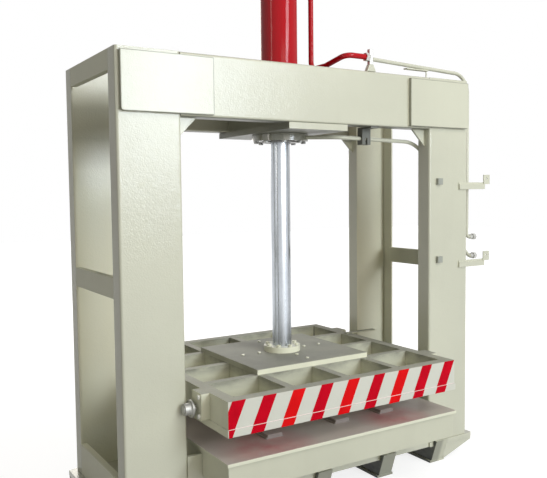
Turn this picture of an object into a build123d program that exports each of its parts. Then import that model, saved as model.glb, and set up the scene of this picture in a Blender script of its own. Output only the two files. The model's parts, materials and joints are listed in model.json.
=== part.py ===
from build123d import *
import math
import os

"""Portal hydraulic press, in millimetres.

The origin lies on the floor on the cylinder's axis. X runs to the right of the
press, Y to its rear and Z up. The platen is drawn where it hangs at rest.
"""

os.makedirs("parts", exist_ok=True)

# Portal frame
frame_width = 2000
frame_depth = 700
frame_height = 2080
post_width = 285
channel_plate = 10
channel_depth = 85
fold_radius = 12
crosshead_height = 270
top_tie_height = 87
mid_tie_height = 90
mid_tie_centre = 1091
bottom_tie_height = 150
tie_thickness = 30

# Crosshead fittings
rib_offset = 115
rib_plate = 12
rib_cope = 6
mount_plate_width = 340
mount_plate = 30
cover_length = 418
cover_height = 245
cover_plate = 20
cover_inset = 16
cover_corner_radius = 14
cover_edge = 2
gusset_length = 90
gusset_plate = 12

# Feet and base plates
foot_height = 95
foot_width = 85
foot_wall = 8
foot_spacing_inner = 410
foot_spacing_outer = 783
nose_height = 130
nose_reach = 36
nose_slope = 45
nose_plate = 12
sole_plate = 12
sole_margin = 10
base_plate = 25
base_lip = 10
base_overhang = 40
base_corner_length = 40
outrigger_plate = 10
outrigger_tip = 15
outrigger_inset = 2

# Bed
bed_width = 1310
bed_depth = 1214
bed_height = 375
bed_top_plate = 15
bed_front_overhang = 12
bed_side_overhang = 10
apron_height = 120
bed_plate = 12
lower_beam_plate = 20
lower_beam_drop = 20
bed_rib_offset = 215
slot_clearance = 1
rail_width = 80
rail_height = 20
rail_length = 880
rail_places = (-322, 60, 338)

# Platen
platen_width = 1300
platen_depth = 1210
platen_lift = 108
press_plate = 32
press_plate_lip = 4
grid_height = 118
outer_rail = 55
inner_rib = 40
cell_count = 4
centre_plate_width = 656
centre_plate_depth = 600
centre_plate = 25
centre_plate_edge = 2
small_bolt_places = (140, 235)
small_bolt_across = 16
small_bolt_head = 6
small_bolt_shank = 5

# Hazard stripes on the platen's front
stripe_count = 9
stripe_pitch = 150.5
stripe_width = 65
stripe_start = 23
stripe_slant_width = 68
stripe_film = 0.8
orange_stripes = (2, 4, 6)

# Guide rollers, rolling on the posts' outer faces
block_width = 40
block_depth = 96
block_corner = 8
block_front = 436
roller_radius = 26
roller_reach = 27
roller_side_gap = 2
roller_flange_radius = 38.5
roller_flange = 8
roller_gap = 0.4
roller_lift = 45
roller_play = 0.3
axle_radius = 10
axle_clearance = 0.05
collar_radius = 16
axle_head_radius = 15
axle_head = 4
axle_socket = 12
block_bolt_across = 19
block_bolt_head = 8
block_bolt_shank = 6
block_bolt_length = 28
block_bolt_spacing = 84
block_bolt_inset = 20

# Cylinder
bore = 160
barrel_wall = 14
rod_diameter = 100
stroke_up = 1000
piston_height = 90
piston_floor = 1990
piston_clearance = 0.1
rod_clearance = 0.05
seal_clearance = 0.05
seal_depth = 7
seal_height = 12
wear_ring_height = 15
gland_spigot = 115
gland_collar = 5
flange_plate = 35
flange_radius = 144
seat_clearance = 0.1
flange_bolt_diameter = 245
flange_bolt_count = 8
flange_bolt_radius = 8
flange_bolt_across = 24
flange_bolt_head = 10
flange_bolt_grip = 55
bolt_hole_clearance = 0.5
cap_thickness = 40
cap_edge = 6
cap_margin = 12
rod_thread_radius = 30
piston_nut_across = 80
piston_nut = 40
port_radius = 20
port_length = 28
port_drop = 35

# Rod flange on the platen
rod_flange_radius = 95
rod_flange = 30
rod_bolt_diameter = 156
rod_bolt_count = 8
rod_bolt_radius = 7
rod_bolt_head_radius = 11
rod_bolt_head = 10

# Red pipe from the cylinder's upper port to the line block
red_pipe_radius = 13.5
red_pipe_bend = 40
red_pipe_x = 172
red_pipe_y = -40
red_pipe_rise = 42
red_pipe_lift = 8
line_row = -335
line_block_x = 324
line_block_width = 22
line_block_depth = 24
line_block_height = 75
line_block_drop = 28
line_block_edge = 3
stand_top = 24
stand_foot = 56

# Pipes in the frame's colour
pipe_radius = 10
pipe_bend = 80
pipe_short_bend = 20
line_rise = 62
line_slope_drop = 20
line_corner_bend = 110
line_side_gap = 40
line_row_shift = 35
line_drop_end = 1224
line_outlet = 62
clip_start = 574
clip_depth = 26
clip_leg_x = 722
clip_leg_radius = 4
clip_strip = 6
lower_port_angle = 53
lower_port_gap = 0.5
lower_line_side_gap = 3
lower_line_depth = 53
lower_line_slope_drop = 13
lower_line_turn_x = 810
lower_line_bend = 190
lower_line_exit = 24
lower_line_end_x = 1070
lower_line_drop = 50
lower_outlet = 50
hanger_x = 351
hanger_width = 70
hanger_plate = 8
hanger_depth = 40
hanger_gap = 16
hanger_below = 34
union_across = 34
union_length = 20
union_sleeve_radius = 13
union_sleeve = 20
red_union_across = 38
red_union_length = 22

# Switch brackets and square bolts on the right front post
bracket_drops = (570, 998)
bracket_start = 932
bracket_length = 198
bracket_height = 38
bracket_ledge = 10
bracket_back = 4
bracket_front = 10
tab_width = 48
tab_height = 42
tab_plate = 5
tab_hole_radius = 5
tab_reach = 39
square_bolt_x = 782
square_bolt_rises = (24, 33)
square_bolt_across = 34
square_bolt_head = 16
square_bolt_shank = 10
square_bolt_length = 40

# Striker bar at the platen's right side
striker_y = 235
striker_width = 30
striker_plate = 8
striker_length = 174
striker_root = 45

# Places worked out from the sizes above
half_width = frame_width / 2
half_depth = frame_depth / 2
post_inner = half_width - post_width
post_centre = half_width - post_width / 2
post_floor = foot_height + base_plate
crosshead_floor = frame_height - crosshead_height
crosshead_centre = frame_height - crosshead_height / 2
flange_edge = half_depth - channel_depth
web_inner = half_depth - channel_plate
mount_floor = crosshead_floor - mount_plate
flange_floor = mount_floor - flange_plate
gland_floor = flange_floor - gland_collar
barrel_radius = bore / 2 + barrel_wall
barrel_top = piston_floor + piston_height + piston_nut + stroke_up + cap_margin
rod_radius = rod_diameter / 2
bed_inside_top = bed_height - bed_top_plate
bed_floor = bed_inside_top - apron_height
apron_half_width = bed_width / 2 - bed_side_overhang
apron_half_depth = bed_depth / 2 - bed_front_overhang
lower_beam_top = bed_inside_top - lower_beam_drop
platen_floor = bed_height + platen_lift
grid_floor = platen_floor + press_plate
grid_top = grid_floor + grid_height
grid_centre = grid_floor + grid_height / 2
grid_half_width = platen_width / 2 - press_plate_lip
grid_half_depth = platen_depth / 2 - press_plate_lip
inner_half_width = grid_half_width - outer_rail
inner_half_depth = grid_half_depth - outer_rail
cell_width = (2 * inner_half_width - (cell_count - 1) * inner_rib) / cell_count
cell_depth = (2 * inner_half_depth - (cell_count - 1) * inner_rib) / cell_count
centre_plate_top = grid_top + centre_plate
rod_flange_top = centre_plate_top + rod_flange
line_start_height = frame_height + line_rise
line_drop_x = half_width + line_side_gap + pipe_radius
lower_line_y = lower_line_side_gap + pipe_radius - flange_edge
lower_line_height = crosshead_floor - lower_line_depth
bracket_heights = [frame_height - drop for drop in bracket_drops]
square_bolt_heights = [height + rise for height, rise in zip(bracket_heights, square_bolt_rises)]

SIDES = (("left", -1), ("right", 1))
ROWS = (("front", -1), ("rear", 1))
CORNERS = [(to_rear, to_right) for _, to_rear in ROWS for _, to_right in SIDES]


def save(piece, name):
    """Label one finished piece and write it as its own file."""
    piece.part.label = name
    export_step(piece.part, f"parts/{name}.step")


def add_plate(x_ends, y_ends, z_ends):
    """Add a flat plate or bar between two corners to the part in hand."""
    x_low, x_high = sorted(x_ends)
    y_low, y_high = sorted(y_ends)
    z_low, z_high = sorted(z_ends)
    with Locations(((x_low + x_high) / 2, (y_low + y_high) / 2, (z_low + z_high) / 2)):
        Box(x_high - x_low, y_high - y_low, z_high - z_low)


def channel_section(plane, width):
    """A U section folded from plate: web on the plane's X axis, flanges toward its +Y."""
    with BuildSketch(plane) as section:
        Rectangle(width, channel_depth, align=(Align.CENTER, Align.MIN))
        fillet(section.vertices().group_by(Axis.Y)[0], fold_radius)
        inner_width = width - 2 * channel_plate
        with Locations((0, channel_plate)):
            Rectangle(inner_width, channel_depth, align=(Align.CENTER, Align.MIN), mode=Mode.SUBTRACT)
        fillet(section.vertices().group_by(Axis.Y)[1], fold_radius - channel_plate)
    return section.sketch


def ring(floor, height, outer_radius, inner_radius):
    """A plain ring round the cylinder's axis."""
    with BuildPart() as piece:
        with BuildSketch(Plane.XY.offset(floor)):
            Circle(outer_radius)
            Circle(inner_radius, mode=Mode.SUBTRACT)
        extrude(amount=height)
    return piece


def pipe_run(points, bends, radius):
    """A round pipe along straight runs joined by bends."""
    with BuildPart() as pipe:
        with BuildLine() as route:
            FilletPolyline(*points, radius=bends)
        with BuildSketch(Plane(origin=route.line @ 0, z_dir=route.line % 0)):
            Circle(radius)
        sweep()
    return pipe


def outward_plane(to_right, x_distance):
    """A plane across X whose normal points away from the cylinder; its X axis runs to the rear."""
    return Plane(origin=(to_right * x_distance, 0, 0), x_dir=(0, 1, 0), z_dir=(to_right, 0, 0))


# Four folded posts, the right front one drilled for its square bolts
for row, to_rear in ROWS:
    for side, to_right in SIDES:
        post_foot = Plane(
            origin=(to_right * post_centre, to_rear * half_depth, post_floor),
            x_dir=(-to_rear, 0, 0),
            z_dir=(0, 0, 1),
        )
        with BuildPart() as post:
            extrude(channel_section(post_foot, post_width), amount=frame_height - post_floor)
            if (row, side) == ("front", "right"):
                with BuildSketch(Plane.XZ.offset(half_depth)):
                    with Locations(*[(square_bolt_x, height) for height in square_bolt_heights]):
                        Circle(square_bolt_shank + bolt_hole_clearance)
                extrude(amount=-channel_plate, mode=Mode.SUBTRACT)
        save(post, f"post_{row}_{side}")

# Ties that close the outer sides of the two columns at three levels
tie_spans = (
    (frame_height - top_tie_height, frame_height),
    (mid_tie_centre - mid_tie_height / 2, mid_tie_centre + mid_tie_height / 2),
    (post_floor, post_floor + bottom_tie_height),
)
for side, to_right in SIDES:
    with BuildPart() as ties:
        for z_span in tie_spans:
            x_span = (to_right * (half_width - tie_thickness), to_right * half_width)
            add_plate(x_span, (-flange_edge, flange_edge), z_span)
    save(ties, f"column_ties_{side}")

# Crosshead: a folded channel at the front and one at the rear, between the posts
with BuildPart() as crosshead:
    for _, to_rear in ROWS:
        channel_end = Plane(
            origin=(-post_inner, to_rear * half_depth, crosshead_centre),
            x_dir=(0, 0, to_rear),
            z_dir=(1, 0, 0),
        )
        extrude(channel_section(channel_end, crosshead_height), amount=2 * post_inner)
save(crosshead, "crosshead_channels")

# Two ribs beside the cylinder, coped round the folds of both channels
with BuildPart() as crosshead_ribs:
    for to_right in (-1, 1):
        with BuildSketch(Plane.YZ.offset(to_right * rib_offset - rib_plate / 2)) as rib:
            with Locations((0, crosshead_centre)):
                Rectangle(2 * web_inner, crosshead_height - 2 * channel_plate)
                chamfer(rib.vertices(), rib_cope)
                Rectangle(2 * flange_edge, crosshead_height)
        extrude(amount=rib_plate)
save(crosshead_ribs, "crosshead_ribs")

# Plate under the crosshead that carries the cylinder
with BuildPart() as mounting_plate:
    with BuildSketch(Plane.XY.offset(mount_floor)):
        Rectangle(mount_plate_width, frame_depth)
        Circle(barrel_radius + seat_clearance, mode=Mode.SUBTRACT)
        with PolarLocations(flange_bolt_diameter / 2, flange_bolt_count, 180 / flange_bolt_count):
            Circle(flange_bolt_radius + bolt_hole_clearance, mode=Mode.SUBTRACT)
    extrude(amount=mount_plate)
save(mounting_plate, "mounting_plate")

# Thick cover plates over the four corner joints, with a rounded lower outer corner
cover_centre_x = half_width - cover_inset - cover_length / 2
cover_centre_z = frame_height - cover_inset - cover_height / 2
with BuildPart() as covers:
    for to_rear, to_right in CORNERS:
        cover_plane = Plane(
            origin=(to_right * cover_centre_x, to_rear * half_depth, cover_centre_z),
            x_dir=(to_right, 0, 0),
            z_dir=(0, -1, 0) if to_rear < 0 else (0, 1, 0),
        )
        lower_side = -1 if cover_plane.y_dir.Z > 0 else 1
        with BuildSketch(cover_plane) as outline:
            Rectangle(cover_length, cover_height)
            lower_outer = outline.vertices().group_by(Axis.X)[-1].sort_by(Axis.Y)[0 if lower_side < 0 else -1]
            fillet(lower_outer, cover_corner_radius)
        extrude(amount=cover_plate)
    for outer_face in covers.faces().filter_by(Axis.Y).group_by(SortBy.AREA)[-1]:
        if abs(outer_face.center().Y) > half_depth + cover_plate / 2:
            chamfer(outer_face.edges(), cover_edge)
save(covers, "corner_covers")

# Triangular gussets in the opening's upper corners
gusset_row = (half_depth + flange_edge) / 2
with BuildPart() as gussets:
    for to_rear, to_right in CORNERS:
        with BuildSketch(Plane.XZ.offset(-to_rear * gusset_row - gusset_plate / 2)):
            with BuildLine():
                Polyline(
                    (to_right * post_inner, crosshead_floor),
                    (to_right * (post_inner - gusset_length), crosshead_floor),
                    (to_right * post_inner, crosshead_floor - gusset_length),
                    close=True,
                )
            make_face()
        extrude(amount=gusset_plate)
save(gussets, "crosshead_gussets")

# Five feet: folded sections whose nose plates slope back to the floor
foot_places = (-foot_spacing_outer, -foot_spacing_inner, 0, foot_spacing_inner, foot_spacing_outer)
nose_top_y = half_depth + nose_reach
nose_foot_y = nose_top_y - (nose_height - sole_plate) * nose_slope / nose_height
foot_end_y = half_depth + base_lip
with BuildPart() as feet:
    for foot_x in foot_places:
        with BuildSketch(Plane.YZ.offset(foot_x - foot_width / 2)):
            with BuildLine() as side_outline:
                Polyline(
                    (0, foot_height),
                    (-foot_end_y, foot_height),
                    (-foot_end_y, nose_height),
                    (-nose_top_y, nose_height),
                    (-nose_foot_y, sole_plate),
                    (0, sole_plate),
                )
                mirror(about=Plane.YZ)
            make_face()
        extrude(amount=foot_width)
    with BuildSketch(Plane.XY.offset(sole_plate)):
        with Locations(*[(foot_x, 0) for foot_x in foot_places]):
            Rectangle(foot_width - 2 * foot_wall, 2 * (nose_foot_y - nose_plate))
    extrude(amount=foot_height - foot_wall - sole_plate, mode=Mode.SUBTRACT)
save(feet, "feet")

with BuildPart() as foot_soles:
    with Locations(*[(foot_x, 0, sole_plate / 2) for foot_x in foot_places]):
        Box(foot_width + 2 * sole_margin, 2 * nose_foot_y, sole_plate)
save(foot_soles, "foot_soles")

# Base plates under the columns, cut back at their outer corners
base_end_x = half_width + base_overhang
with BuildPart() as base_plates:
    for _, to_right in SIDES:
        with BuildSketch(Plane.XY.offset(foot_height)):
            with BuildLine():
                Polyline(
                    (to_right * post_inner, 0),
                    (to_right * post_inner, foot_end_y),
                    (to_right * (base_end_x - base_corner_length), foot_end_y),
                    (to_right * base_end_x, half_depth),
                    (to_right * base_end_x, 0),
                )
                mirror(about=Plane.XZ)
            make_face()
        extrude(amount=base_plate)
save(base_plates, "base_plates")

# Outrigger gussets from the outer feet to the ends of the base plates
foot_side_x = foot_spacing_outer + foot_width / 2
outrigger_row = half_depth - outrigger_plate / 2
outrigger_end_x = base_end_x - outrigger_inset
with BuildPart() as outriggers:
    for to_rear, to_right in CORNERS:
        with BuildSketch(Plane.XZ.offset(-to_rear * outrigger_row - outrigger_plate / 2)):
            with BuildLine():
                Polyline(
                    (to_right * foot_side_x, foot_height),
                    (to_right * outrigger_end_x, foot_height),
                    (to_right * outrigger_end_x, foot_height - outrigger_tip),
                    (to_right * (foot_side_x + sole_margin), sole_plate),
                    (to_right * foot_side_x, sole_plate),
                    close=True,
                )
            make_face()
        extrude(amount=outrigger_plate)
save(outriggers, "outrigger_gussets")

# Lower beams between the posts, resting on the feet
with BuildPart() as lower_beams:
    for _, to_rear in ROWS:
        y_span = (to_rear * (half_depth - lower_beam_plate), to_rear * half_depth)
        add_plate((-post_inner, post_inner), y_span, (foot_height, lower_beam_top))
save(lower_beams, "lower_beams")

# Bed box: top plate, aprons, and webs slotted from below over the lower beams
with BuildPart() as bed_top:
    with Locations((0, 0, bed_height - bed_top_plate / 2)):
        Box(bed_width, bed_depth, bed_top_plate)
save(bed_top, "bed_top_plate")

with BuildPart() as aprons:
    for _, to_rear in ROWS:
        y_span = (to_rear * (apron_half_depth - bed_plate), to_rear * apron_half_depth)
        add_plate((-apron_half_width, apron_half_width), y_span, (bed_floor, bed_inside_top))
save(aprons, "bed_aprons")

web_starts = (
    -apron_half_width,
    -bed_rib_offset - bed_plate / 2,
    bed_rib_offset - bed_plate / 2,
    apron_half_width - bed_plate,
)
beam_row = half_depth - lower_beam_plate / 2
with BuildPart() as bed_webs:
    for web_x in web_starts:
        with BuildSketch(Plane.YZ.offset(web_x)):
            with Locations((0, bed_floor + apron_height / 2)):
                Rectangle(2 * (apron_half_depth - bed_plate), apron_height)
            with Locations((-beam_row, bed_floor), (beam_row, bed_floor)):
                Rectangle(
                    lower_beam_plate + 2 * slot_clearance,
                    lower_beam_top - bed_floor,
                    align=(Align.CENTER, Align.MIN),
                    mode=Mode.SUBTRACT,
                )
        extrude(amount=bed_plate)
save(bed_webs, "bed_webs")

with BuildPart() as bed_rails:
    with Locations(*[(rail_x, 0, bed_height + rail_height / 2) for rail_x in rail_places]):
        Box(rail_width, rail_length, rail_height)
save(bed_rails, "bed_rails")

# Platen: press plate under a grid of rails and ribs
with BuildPart() as press:
    with Locations((0, 0, platen_floor + press_plate / 2)):
        Box(platen_width, platen_depth, press_plate)
save(press, "platen_press_plate")

with BuildPart() as end_rails:
    for _, to_rear in ROWS:
        y_span = (to_rear * inner_half_depth, to_rear * grid_half_depth)
        add_plate((-grid_half_width, grid_half_width), y_span, (grid_floor, grid_top))
save(end_rails, "platen_end_rails")

with BuildPart() as side_rails:
    for _, to_right in SIDES:
        x_span = (to_right * inner_half_width, to_right * grid_half_width)
        add_plate(x_span, (-inner_half_depth, inner_half_depth), (grid_floor, grid_top))
save(side_rails, "platen_side_rails")

rib_pitch_x = cell_width + inner_rib
rib_pitch_y = cell_depth + inner_rib
long_rib_places = [(number - cell_count / 2) * rib_pitch_x for number in range(1, cell_count)]
cross_rib_places = [
    ((column - (cell_count - 1) / 2) * rib_pitch_x, (row - cell_count / 2) * rib_pitch_y)
    for column in range(cell_count)
    for row in range(1, cell_count)
]
rib_pieces = []
for rib_x in long_rib_places:
    with BuildPart() as long_rib:
        with Locations((rib_x, 0, grid_centre)):
            Box(inner_rib, 2 * inner_half_depth, grid_height)
    rib_pieces.append(long_rib.part.solid())
for rib_x, rib_y in cross_rib_places:
    with BuildPart() as cross_rib:
        with Locations((rib_x, rib_y, grid_centre)):
            Box(cell_width, inner_rib, grid_height)
    rib_pieces.append(cross_rib.part.solid())
platen_ribs = Compound(children=rib_pieces, label="platen_ribs")
export_step(platen_ribs, "parts/platen_ribs.step")

# Centre plate that spreads the rod's load over the grid, and its small bolts
small_bolt_spots = []
for distance in small_bolt_places:
    small_bolt_spots += [(distance, 0), (-distance, 0), (0, distance), (0, -distance)]
with BuildPart() as centre_piece:
    with Locations((0, 0, grid_top + centre_plate / 2)):
        Box(centre_plate_width, centre_plate_depth, centre_plate)
    chamfer(centre_piece.faces().sort_by(Axis.Z)[-1].edges(), centre_plate_edge)
    with BuildSketch(Plane.XY.offset(grid_top)):
        with Locations(*small_bolt_spots):
            Circle(small_bolt_shank + seat_clearance)
    extrude(amount=centre_plate, mode=Mode.SUBTRACT)
save(centre_piece, "platen_centre_plate")

with BuildPart() as centre_bolts:
    with BuildSketch(Plane.XY.offset(centre_plate_top)):
        with Locations(*small_bolt_spots):
            RegularPolygon(small_bolt_across / 2, 6, major_radius=False)
    extrude(amount=small_bolt_head)
    with BuildSketch(Plane.XY.offset(grid_top)):
        with Locations(*small_bolt_spots):
            Circle(small_bolt_shank)
    extrude(amount=centre_plate)
save(centre_bolts, "centre_plate_bolts")


def stripe_film_part(numbers):
    """Slanted fields of film on the grid's face and on the press plate's edge below it."""
    slant_rate = stripe_slant_width / (grid_height + press_plate)
    first_corner = -platen_width / 2 + stripe_start
    with BuildPart() as film:
        for face_y, z_low, z_high in (
            (grid_half_depth, grid_floor, grid_top),
            (platen_depth / 2, platen_floor, grid_floor),
        ):
            low_shift = (grid_top - z_low) * slant_rate
            high_shift = (grid_top - z_high) * slant_rate
            for number in numbers:
                corner = first_corner + number * stripe_pitch
                with BuildSketch(Plane.XZ.offset(face_y)):
                    with BuildLine():
                        Polyline(
                            (corner - high_shift, z_high),
                            (corner - high_shift + stripe_width, z_high),
                            (corner - low_shift + stripe_width, z_low),
                            (corner - low_shift, z_low),
                            close=True,
                        )
                    make_face()
                    with Locations((0, (z_low + z_high) / 2)):
                        Rectangle(2 * grid_half_width, z_high - z_low, mode=Mode.INTERSECT)
                extrude(amount=stripe_film)
    return film


save(
    stripe_film_part([number for number in range(stripe_count) if number not in orange_stripes]),
    "hazard_stripes_crimson",
)
save(stripe_film_part(orange_stripes), "hazard_stripes_orange")

# Guide blocks on the platen's sides
block_face = grid_half_width + block_width
roller_y = half_depth + roller_radius + roller_gap
roller_z = grid_floor + roller_lift
bolt_row = block_front - block_bolt_inset
bolt_levels = (grid_centre - block_bolt_spacing / 2, grid_centre + block_bolt_spacing / 2)
with BuildPart() as guide_blocks:
    for to_rear, to_right in CORNERS:
        with BuildSketch(outward_plane(to_right, grid_half_width)) as block_outline:
            with Locations((to_rear * (block_front - block_depth / 2), to_right * grid_centre)):
                Rectangle(block_depth, grid_height)
            fillet(block_outline.vertices(), block_corner)
            with Locations((to_rear * roller_y, to_right * roller_z)):
                Circle(axle_radius + seat_clearance, mode=Mode.SUBTRACT)
            with Locations(*[(to_rear * bolt_row, to_right * level) for level in bolt_levels]):
                Circle(block_bolt_shank + seat_clearance, mode=Mode.SUBTRACT)
        extrude(amount=block_width)
save(guide_blocks, "guide_blocks")

# One flanged roller at each post: the tread rolls on the web, the flange runs inside the opening
tread_inner = post_inner - roller_side_gap
tread_outer = post_inner + roller_reach
flange_inner = tread_inner - roller_flange
for row, to_rear in ROWS:
    for side, to_right in SIDES:
        roller_spot = (to_rear * roller_y, to_right * roller_z)
        with BuildPart() as roller:
            with BuildSketch(outward_plane(to_right, flange_inner)):
                with Locations(roller_spot):
                    Circle(roller_flange_radius)
            extrude(amount=roller_flange)
            with BuildSketch(outward_plane(to_right, tread_inner)):
                with Locations(roller_spot):
                    Circle(roller_radius)
            extrude(amount=tread_outer - tread_inner)
            with BuildSketch(outward_plane(to_right, flange_inner)):
                with Locations(roller_spot):
                    Circle(axle_radius + axle_clearance)
            extrude(amount=tread_outer - flange_inner, mode=Mode.SUBTRACT)
        save(roller, f"guide_roller_{row}_{side}")

# Fixed axles: a collar against the block, a shank, and a socket head outside the roller
with BuildPart() as axles:
    for to_rear, to_right in CORNERS:
        axle_spot = (to_rear * roller_y, to_right * roller_z)
        with BuildSketch(outward_plane(to_right, grid_half_width)):
            with Locations(axle_spot):
                Circle(axle_radius)
        extrude(amount=tread_outer + roller_play - grid_half_width)
        with BuildSketch(outward_plane(to_right, block_face)):
            with Locations(axle_spot):
                Circle(collar_radius)
        extrude(amount=flange_inner - roller_play - block_face)
        with BuildSketch(outward_plane(to_right, tread_outer + roller_play)):
            with Locations(axle_spot):
                Circle(axle_head_radius)
                RegularPolygon(axle_socket / 2, 6, major_radius=False, mode=Mode.SUBTRACT)
        extrude(amount=axle_head)
save(axles, "roller_axles")

with BuildPart() as block_bolts:
    for to_rear, to_right in CORNERS:
        bolt_spots = [(to_rear * bolt_row, to_right * level) for level in bolt_levels]
        with BuildSketch(outward_plane(to_right, block_face)):
            with Locations(*bolt_spots):
                RegularPolygon(block_bolt_across / 2, 6, major_radius=False)
        extrude(amount=block_bolt_head)
        with BuildSketch(outward_plane(to_right, block_face)):
            with Locations(*bolt_spots):
                Circle(block_bolt_shank)
        extrude(amount=-block_bolt_length)
save(block_bolts, "guide_block_bolts")

# Striker bar that trips the switches
with BuildPart() as striker:
    add_plate(
        (grid_half_width - striker_root, grid_half_width + striker_length),
        (striker_y - striker_width / 2, striker_y + striker_width / 2),
        (grid_top, grid_top + striker_plate),
    )
save(striker, "striker_bar")

# Rod with its threaded upper end
with BuildPart() as rod:
    with BuildSketch(Plane.XY.offset(centre_plate_top)):
        Circle(rod_radius)
    extrude(amount=piston_floor - centre_plate_top)
    with BuildSketch(Plane.XY.offset(piston_floor)):
        Circle(rod_thread_radius)
    extrude(amount=piston_height + piston_nut)
save(rod, "piston_rod")

# Round flange that bolts the rod to the centre plate
with BuildPart() as rod_flange_piece:
    with BuildSketch(Plane.XY.offset(centre_plate_top)):
        Circle(rod_flange_radius)
        Circle(rod_radius + seat_clearance, mode=Mode.SUBTRACT)
        with PolarLocations(rod_bolt_diameter / 2, rod_bolt_count):
            Circle(rod_bolt_radius + seat_clearance, mode=Mode.SUBTRACT)
    extrude(amount=rod_flange)
save(rod_flange_piece, "rod_flange")

with BuildPart() as rod_bolts:
    with BuildSketch(Plane.XY.offset(centre_plate_top)):
        with PolarLocations(rod_bolt_diameter / 2, rod_bolt_count):
            Circle(rod_bolt_radius)
    extrude(amount=rod_flange)
    with BuildSketch(Plane.XY.offset(rod_flange_top)):
        with PolarLocations(rod_bolt_diameter / 2, rod_bolt_count):
            Circle(rod_bolt_head_radius)
    extrude(amount=rod_bolt_head)
save(rod_bolts, "rod_flange_bolts")

# Piston with grooves for its seal and wear ring
groove_radius = bore / 2 - seal_depth
seal_floor = piston_floor + (piston_height - seal_height) / 2
wear_ring_floor = piston_floor + (seal_floor - piston_floor - wear_ring_height) / 2
with BuildPart() as piston:
    with BuildSketch(Plane.XY.offset(piston_floor)):
        Circle(bore / 2 - piston_clearance)
        Circle(rod_thread_radius + seat_clearance, mode=Mode.SUBTRACT)
    extrude(amount=piston_height)
    for groove_floor, groove_height in ((seal_floor, seal_height), (wear_ring_floor, wear_ring_height)):
        with BuildSketch(Plane.XY.offset(groove_floor)):
            Circle(bore / 2)
            Circle(groove_radius, mode=Mode.SUBTRACT)
        extrude(amount=groove_height, mode=Mode.SUBTRACT)
save(piston, "piston")
save(ring(seal_floor, seal_height, bore / 2 - seal_clearance, groove_radius), "piston_seal")
save(ring(wear_ring_floor, wear_ring_height, bore / 2 - seal_clearance, groove_radius), "piston_wear_ring")

with BuildPart() as piston_nut_piece:
    with BuildSketch(Plane.XY.offset(piston_floor + piston_height)):
        RegularPolygon(piston_nut_across / 2, 6, major_radius=False)
        Circle(rod_thread_radius + seat_clearance, mode=Mode.SUBTRACT)
    extrude(amount=piston_nut)
save(piston_nut_piece, "piston_nut")

# Barrel with the boss of its upper port, turned toward the red pipe
port_height = barrel_top - port_drop
port_direction = Vector(red_pipe_x, red_pipe_y, 0).normalized()
port_plane = Plane(
    origin=port_direction * (barrel_radius - barrel_wall / 2) + Vector(0, 0, port_height),
    z_dir=port_direction,
)
with BuildPart() as barrel:
    with BuildSketch(Plane.XY.offset(flange_floor)):
        Circle(barrel_radius)
    extrude(amount=barrel_top - flange_floor)
    with BuildSketch(port_plane):
        Circle(port_radius)
    extrude(amount=barrel_wall / 2 + port_length)
    with BuildSketch(Plane.XY.offset(flange_floor)):
        Circle(bore / 2)
    extrude(amount=barrel_top - flange_floor, mode=Mode.SUBTRACT)
save(barrel, "cylinder_barrel")

with BuildPart() as end_cap:
    with BuildSketch(Plane.XY.offset(barrel_top)):
        Circle(barrel_radius)
    extrude(amount=cap_thickness)
    chamfer(end_cap.faces().sort_by(Axis.Z)[-1].edges(), cap_edge)
save(end_cap, "cylinder_end_cap")

# Flange on the barrel's lower end, bolted up to the mounting plate
with BuildPart() as cylinder_flange:
    with BuildSketch(Plane.XY.offset(flange_floor)):
        Circle(flange_radius)
        Circle(barrel_radius + seat_clearance, mode=Mode.SUBTRACT)
        with PolarLocations(flange_bolt_diameter / 2, flange_bolt_count, 180 / flange_bolt_count):
            Circle(flange_bolt_radius + bolt_hole_clearance, mode=Mode.SUBTRACT)
    extrude(amount=flange_plate)
save(cylinder_flange, "cylinder_flange")

with BuildPart() as flange_bolts:
    with BuildSketch(Plane.XY.offset(flange_floor)):
        with PolarLocations(flange_bolt_diameter / 2, flange_bolt_count, 180 / flange_bolt_count):
            Circle(flange_bolt_radius)
    extrude(amount=flange_bolt_grip)
    with BuildSketch(Plane.XY.offset(flange_floor)):
        with PolarLocations(flange_bolt_diameter / 2, flange_bolt_count, 180 / flange_bolt_count):
            RegularPolygon(flange_bolt_across / 2, 6, major_radius=False)
    extrude(amount=-flange_bolt_head)
save(flange_bolts, "cylinder_flange_bolts")

# Gland: a spigot inside the barrel that guides the rod, with a collar below
gland_groove = rod_radius + seal_depth
rod_seal_floor = flange_floor + gland_spigot / 2
with BuildPart() as gland:
    with BuildSketch(Plane.XY.offset(gland_floor)):
        Circle(barrel_radius)
    extrude(amount=gland_collar)
    with BuildSketch(Plane.XY.offset(flange_floor)):
        Circle(bore / 2 - seat_clearance)
    extrude(amount=gland_spigot)
    with BuildSketch(Plane.XY.offset(gland_floor)):
        Circle(rod_radius + rod_clearance)
    extrude(amount=gland_collar + gland_spigot, mode=Mode.SUBTRACT)
    for groove_floor in (gland_floor, rod_seal_floor):
        with BuildSketch(Plane.XY.offset(groove_floor)):
            Circle(gland_groove)
        extrude(amount=seal_height, mode=Mode.SUBTRACT)
save(gland, "gland")

with BuildPart() as rod_seals:
    for seal_place in (gland_floor, rod_seal_floor):
        with BuildSketch(Plane.XY.offset(seal_place)):
            Circle(gland_groove)
            Circle(rod_radius + seal_clearance, mode=Mode.SUBTRACT)
        extrude(amount=seal_height)
save(rod_seals, "rod_seals")

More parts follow.
